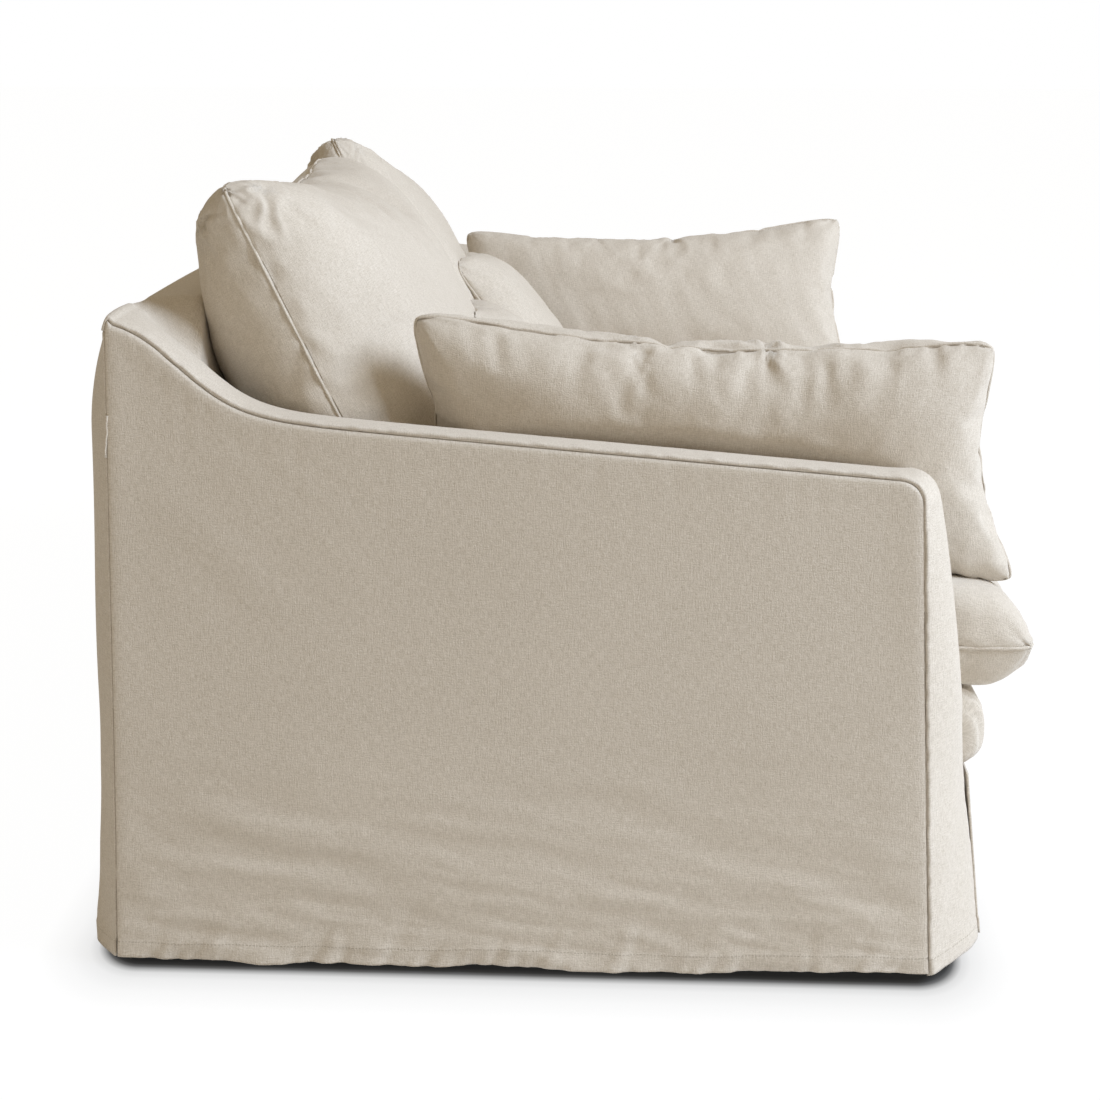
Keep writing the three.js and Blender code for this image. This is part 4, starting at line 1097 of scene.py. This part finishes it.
def sewCover():
    look = coverSeams
    path = resample(armPath, 600)
    normal = outward(path)
    edge = sideX(path[:, 1])
    raised = bandSwell(path[:, 1], normal[:, 0], normal[:, 1], path[:, 0], 1.0) - look["sink"] * 0.6
    for word, side in (("right", -1), ("left", 1)):
        sewBandSeam(f"seam_arm_outer_{word}", side * (edge - 0.0014), -look["lip"], 0.6 * side, path, 0.0014, 710)
        # A thin dark tube in the ditch beside the outer arm seam: painted shade of the ditch
        sewBandSeam(f"ditch_arm_outer_{word}", side * (edge - 0.0006), -look["ditchIn"], 0.6 * side, path,
                    look["ditch"], 711, ditchShadeLinen)
        sewBandSeam(f"seam_arm_inner_{word}", side * (innerHalf + 0.0012), raised, -0.6 * side, path, 0.0020, 720)
        z = np.linspace(hemHeight + 0.003, rearEdge - 0.002, 300)
        kink = look["hemKink"] * smooth((look["kinkTop"] - z) / look["kinkRun"])
        sewSeam(f"seam_rear_{word}", side * (sideX(z) - 0.0010), 0.0004 + kink, z, (side, 0.4, 0), 0.0016, 730)
        # A thin dark tube in the ditch beside the rear seam: painted shade of the ditch
        sewSeam(f"ditch_rear_{word}", side * (sideX(z) - 0.0004), 0.0032 + kink, z, (side, 0.4, 0),
                look["ditch"], 731, ditchShadeLinen)
    x = np.linspace(-cover["halfWidth"] + 0.004, cover["halfWidth"] - 0.004, 500)
    sewSeam("seam_back_top", x, 0.0004, rearEdge + 0.0012 * softNoise(x / 0.2, 0.5, 741), (0, 1, 0.6), seed=740)
    # A short ragged tuck of cloth that stands out beside the rear seam
    z = np.linspace(look["tuckFoot"], look["tuckTop"], 60)
    wave = look["tuckWave"] * softNoise(z / 0.006, 0.5, 750)
    shift = look["tuckShift"] * (1 - (z - z[0]) / (z[-1] - z[0]))
    sewSeam("seam_tuck_right", -(cover["halfWidth"] + 0.0016), 0.0030 - shift + wave, z, (-1, 0.3, 0), 0.0016, 751)


sewCover()
print("seams sewn")


# What is hidden: its looks only show from below or with the cover away
frameLooks = dict(
    # Bare hardwood, sawn: a matt surface with long grain streaks and saw marks
    frame_timber=dict(dark="#9C7A52", light="#C6A57C", grain=(0.004, 0.15, 0.004), roughness=0.72, bumpDepth=0.0004),
    # The same timber stained, darker and smoother
    leg_timber=dict(dark="#33231A", light="#523B2C", grain=(0.003, 0.003, 0.08), roughness=0.45, bumpDepth=0.0002),
    # Upholstery foam: cream, dry, with fine open pores
    foam=dict(dark="#DCCFA8", light="#F0E8CC", grain=(0.003, 0.003, 0.003), roughness=0.95, bumpDepth=0.0008),
    # Hardboard: brown pressed fibre, fine and even
    fibreboard=dict(dark="#6E5238", light="#8C6C4C", grain=(0.002, 0.006, 0.006), roughness=0.80, bumpDepth=0.0002),
    # Elastic webbing: black yarn in a close weave
    webbing=dict(dark="#1F1D1A", light="#3C3934", grain=(0.003, 0.010, 0.003), roughness=0.88, bumpDepth=0.0005),
    # Nylon glides: black, moulded, a little shiny
    glide=dict(dark="#1A1A1A", light="#262626", grain=(0.002, 0.002, 0.002), roughness=0.38, bumpDepth=0.0001),
)
wadding = dict(
    nodes=("deck_pad", "back_pad", "arm_foam_right", "arm_foam_left", "arm_pad_right", "arm_pad_left"),
    backShare=0.86, armDrop=0.016, armFrom=0.45, armOver=0.10, bevel=0.004, bevelAngle=math.radians(50),
)


def buildFrameFinish(name, look):
    material, tree = freshMaterial(name)
    spot = addNode(tree, "ShaderNodeTexCoord").outputs["Object"]
    stretched = addNode(tree, "ShaderNodeVectorMath", {
        0: spot, 1: tuple(1 / size for size in look["grain"]),
    }, operation="MULTIPLY")
    grain = addNode(tree, "ShaderNodeTexNoise", {"Vector": stretched.outputs[0], "Scale": 1.0, "Detail": 3.0})
    cloud = addNode(tree, "ShaderNodeTexNoise", {"Vector": spot, "Scale": 9.0, "Detail": 2.0})
    shade = maths(tree, "MULTIPLY_ADD", cloud.outputs["Fac"], 0.5, grain.outputs["Fac"])
    closeMaterial(tree, look, maths(tree, "SUBTRACT", shade, 0.25), grain.outputs["Fac"])
    return material


def finishFrame():
    made = {slot: buildFrameFinish(slot + "Finish", look) for slot, look in frameLooks.items()}
    for node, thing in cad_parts.items():
        for part in thing.material_slots:
            slot = next((slot for slot in made if part.material and part.material.name.startswith(slot)), None)
            if slot:
                part.material = made[slot]
    # Pads under the cover: a merged copy of each solid, its edges eased as cut foam under wadding is
    for node in wadding["nodes"]:
        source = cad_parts[node]
        shell = bmesh.new()
        shell.from_mesh(source.data)
        shell.transform(source.matrix_world)
        bmesh.ops.remove_doubles(shell, verts=shell.verts, dist=1e-5)
        mesh = bpy.data.meshes.new("wadding_" + node)
        shell.to_mesh(mesh)
        shell.free()
        spots = readArray(mesh.vertices, "co", 3)
        spots[:, 1] -= leanAt(seamLine - spots[:, 1], spots[:, 2])
        if node == "back_pad":
            spots[:, 0] *= wadding["backShare"]
        if node.startswith("arm"):
            spots[:, 2] -= wadding["armDrop"] * smooth((spots[:, 2] - wadding["armFrom"]) / wadding["armOver"])
        mesh.vertices.foreach_set("co", spots.ravel())
        mesh.materials.clear()
        mesh.materials.append(made["foam"])
        pad = addObject("wadding_" + node, mesh)
        put(pad.modifiers.new("eased", "BEVEL"), width=wadding["bevel"], segments=2, limit_method="ANGLE",
            angle_limit=wadding["bevelAngle"])
        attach(pad, "root")
        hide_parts(node)


finishFrame()
print("frame finished")


# Floor, light and surroundings

studio = dict(
    # Name, place, size, power, colour
    lamps=[
        ("window", (-1.85, -4.7, 4.1), 3.0, 455, "#DDEBFF"),
        ("roomBounce", (-4.6, 0.6, 2.6), 3.5, 5, "#FFF6EA"),
    ],
    ambient="#FFECCB", ambientStrength=0.405, floor="#F2F1EF", floorGlow=0.95, floorReach=30.0,
    footRound=0.090, footFront=0.7, endFade=1.6, endShift=0.018, shadeStart=-0.017, shadeReach=0.25,
    # Painted floor shadow: where it is how light, from the hem outwards
    shade=[
        (0, 0.015), (0.04, 0.03), (0.07, 0.11), (0.10, 0.38), (0.14, 0.70), (0.21, 0.83), (0.36, 0.91), (0.60, 0.98),
    ],
)


def addLamp(name, position, size, power, colour):
    data = bpy.data.lights.new(name, "AREA")
    put(data, shape="SQUARE", size=size, energy=power, color=linearColour(colour)[:3])
    aim = Vector((0, 0, 0.4)) - Vector(position)
    turn = aim.to_track_quat("-Z", "Y").to_matrix().to_4x4()
    addObject(name, data).matrix_world = Matrix.Translation(position) @ turn


def makeWorld():
    # White where the camera or a reflection sees it, a warm dim glow for everything else
    world = bpy.data.worlds.new("studio")
    world.use_nodes = True
    tree = world.node_tree
    tree.nodes.clear()
    rays = addNode(tree, "ShaderNodeLightPath").outputs
    shown = maths(tree, "MAXIMUM", rays["Is Camera Ray"], rays["Is Glossy Ray"])
    shown = maths(tree, "MAXIMUM", shown, rays["Is Transmission Ray"])
    ambient = addNode(tree, "ShaderNodeBackground", {
        "Color": linearColour(studio["ambient"]), "Strength": studio["ambientStrength"],
    })
    white = addNode(tree, "ShaderNodeBackground", {"Color": (1, 1, 1, 1), "Strength": 1.0})
    both = addNode(tree, "ShaderNodeMixShader", {0: shown, 1: ambient.outputs[0], 2: white.outputs[0]})
    addNode(tree, "ShaderNodeOutputWorld", {"Surface": both.outputs[0]})
    bpy.context.scene.world = world


def makeFloor():
    # The floor glows for the camera, except for a painted shadow: black under the sofa, and fading with the
    # distance from the hem, which is a rounded rectangle on the floor
    material, tree = freshMaterial("studioFloor")
    seen = addNode(tree, "ShaderNodeLightPath").outputs["Is Camera Ray"]
    texture = addNode(tree, "ShaderNodeTexCoord").outputs["Object"]
    spot = addNode(tree, "ShaderNodeSeparateXYZ", {"Vector": texture}).outputs
    rear = seamLine + cover["backHemCrown"]
    front = seamLine - frontSeamAt(0) - studio["footFront"] * cover["bandHemCrown"]
    side = cover["halfWidth"] + cover["sideFlare"] - studio["footRound"]
    fade, inset = studio["endFade"], studio["footRound"] + studio["endShift"]
    fromX = maths(tree, "SUBTRACT", maths(tree, "ABSOLUTE", spot["X"]), side)
    behind = maths(tree, "MULTIPLY_ADD", spot["Y"], fade, inset - fade * rear)
    ahead = maths(tree, "MULTIPLY_ADD", spot["Y"], -fade, inset + fade * front)
    fromY = maths(tree, "MAXIMUM", behind, ahead)
    offset = addNode(tree, "ShaderNodeCombineXYZ", {
        "X": maths(tree, "MAXIMUM", fromX, 0.0), "Y": maths(tree, "MAXIMUM", fromY, 0.0),
    })
    away = addNode(tree, "ShaderNodeVectorMath", {0: offset.outputs[0]}, operation="LENGTH")
    start = studio["footRound"] + studio["shadeStart"]
    away = addNode(tree, "ShaderNodeMapRange", {
        "Value": away.outputs["Value"], "From Min": start, "From Max": start + studio["shadeReach"],
    })
    ramp = addNode(tree, "ShaderNodeValToRGB", {"Fac": away.outputs[0]})
    stops = ramp.color_ramp.elements
    for number, (at, level) in enumerate(studio["shade"]):
        stop = stops[number] if number < 2 else stops.new(at)
        stop.position, stop.color = at, (level, level, level, 1)
    glow = maths(tree, "MULTIPLY", ramp.outputs[0], seen)
    light = addNode(tree, "ShaderNodeEmission", {"Color": (1, 1, 1, 1), "Strength": glow})
    # For the camera most of what it shows is that glow; for the object it is a plain pale floor
    tint = addNode(tree, "ShaderNodeMix", {
        "Factor": maths(tree, "MULTIPLY_ADD", seen, -studio["floorGlow"], 1.0),
        "A": (0, 0, 0, 1), "B": linearColour(studio["floor"]),
    }, data_type="RGBA")
    plain = addNode(tree, "ShaderNodeBsdfDiffuse", {"Color": tint.outputs["Result"]})
    both = addNode(tree, "ShaderNodeAddShader", {0: plain.outputs[0], 1: light.outputs[0]})
    addNode(tree, "ShaderNodeOutputMaterial", {"Surface": both.outputs[0]})
    mesh = bpy.data.meshes.new("floor")
    reach = studio["floorReach"]
    corners = [(-reach, -reach, 0), (reach, -reach, 0), (reach, reach, 0), (-reach, reach, 0)]
    mesh.from_pydata(corners, [], [(0, 1, 2, 3)])
    mesh.materials.append(material)
    addObject("floor", mesh)


for lamp in studio["lamps"]:
    addLamp(*lamp)
makeWorld()
makeFloor()
bpy.context.scene.view_settings.view_transform = "Standard"
print("studio made")
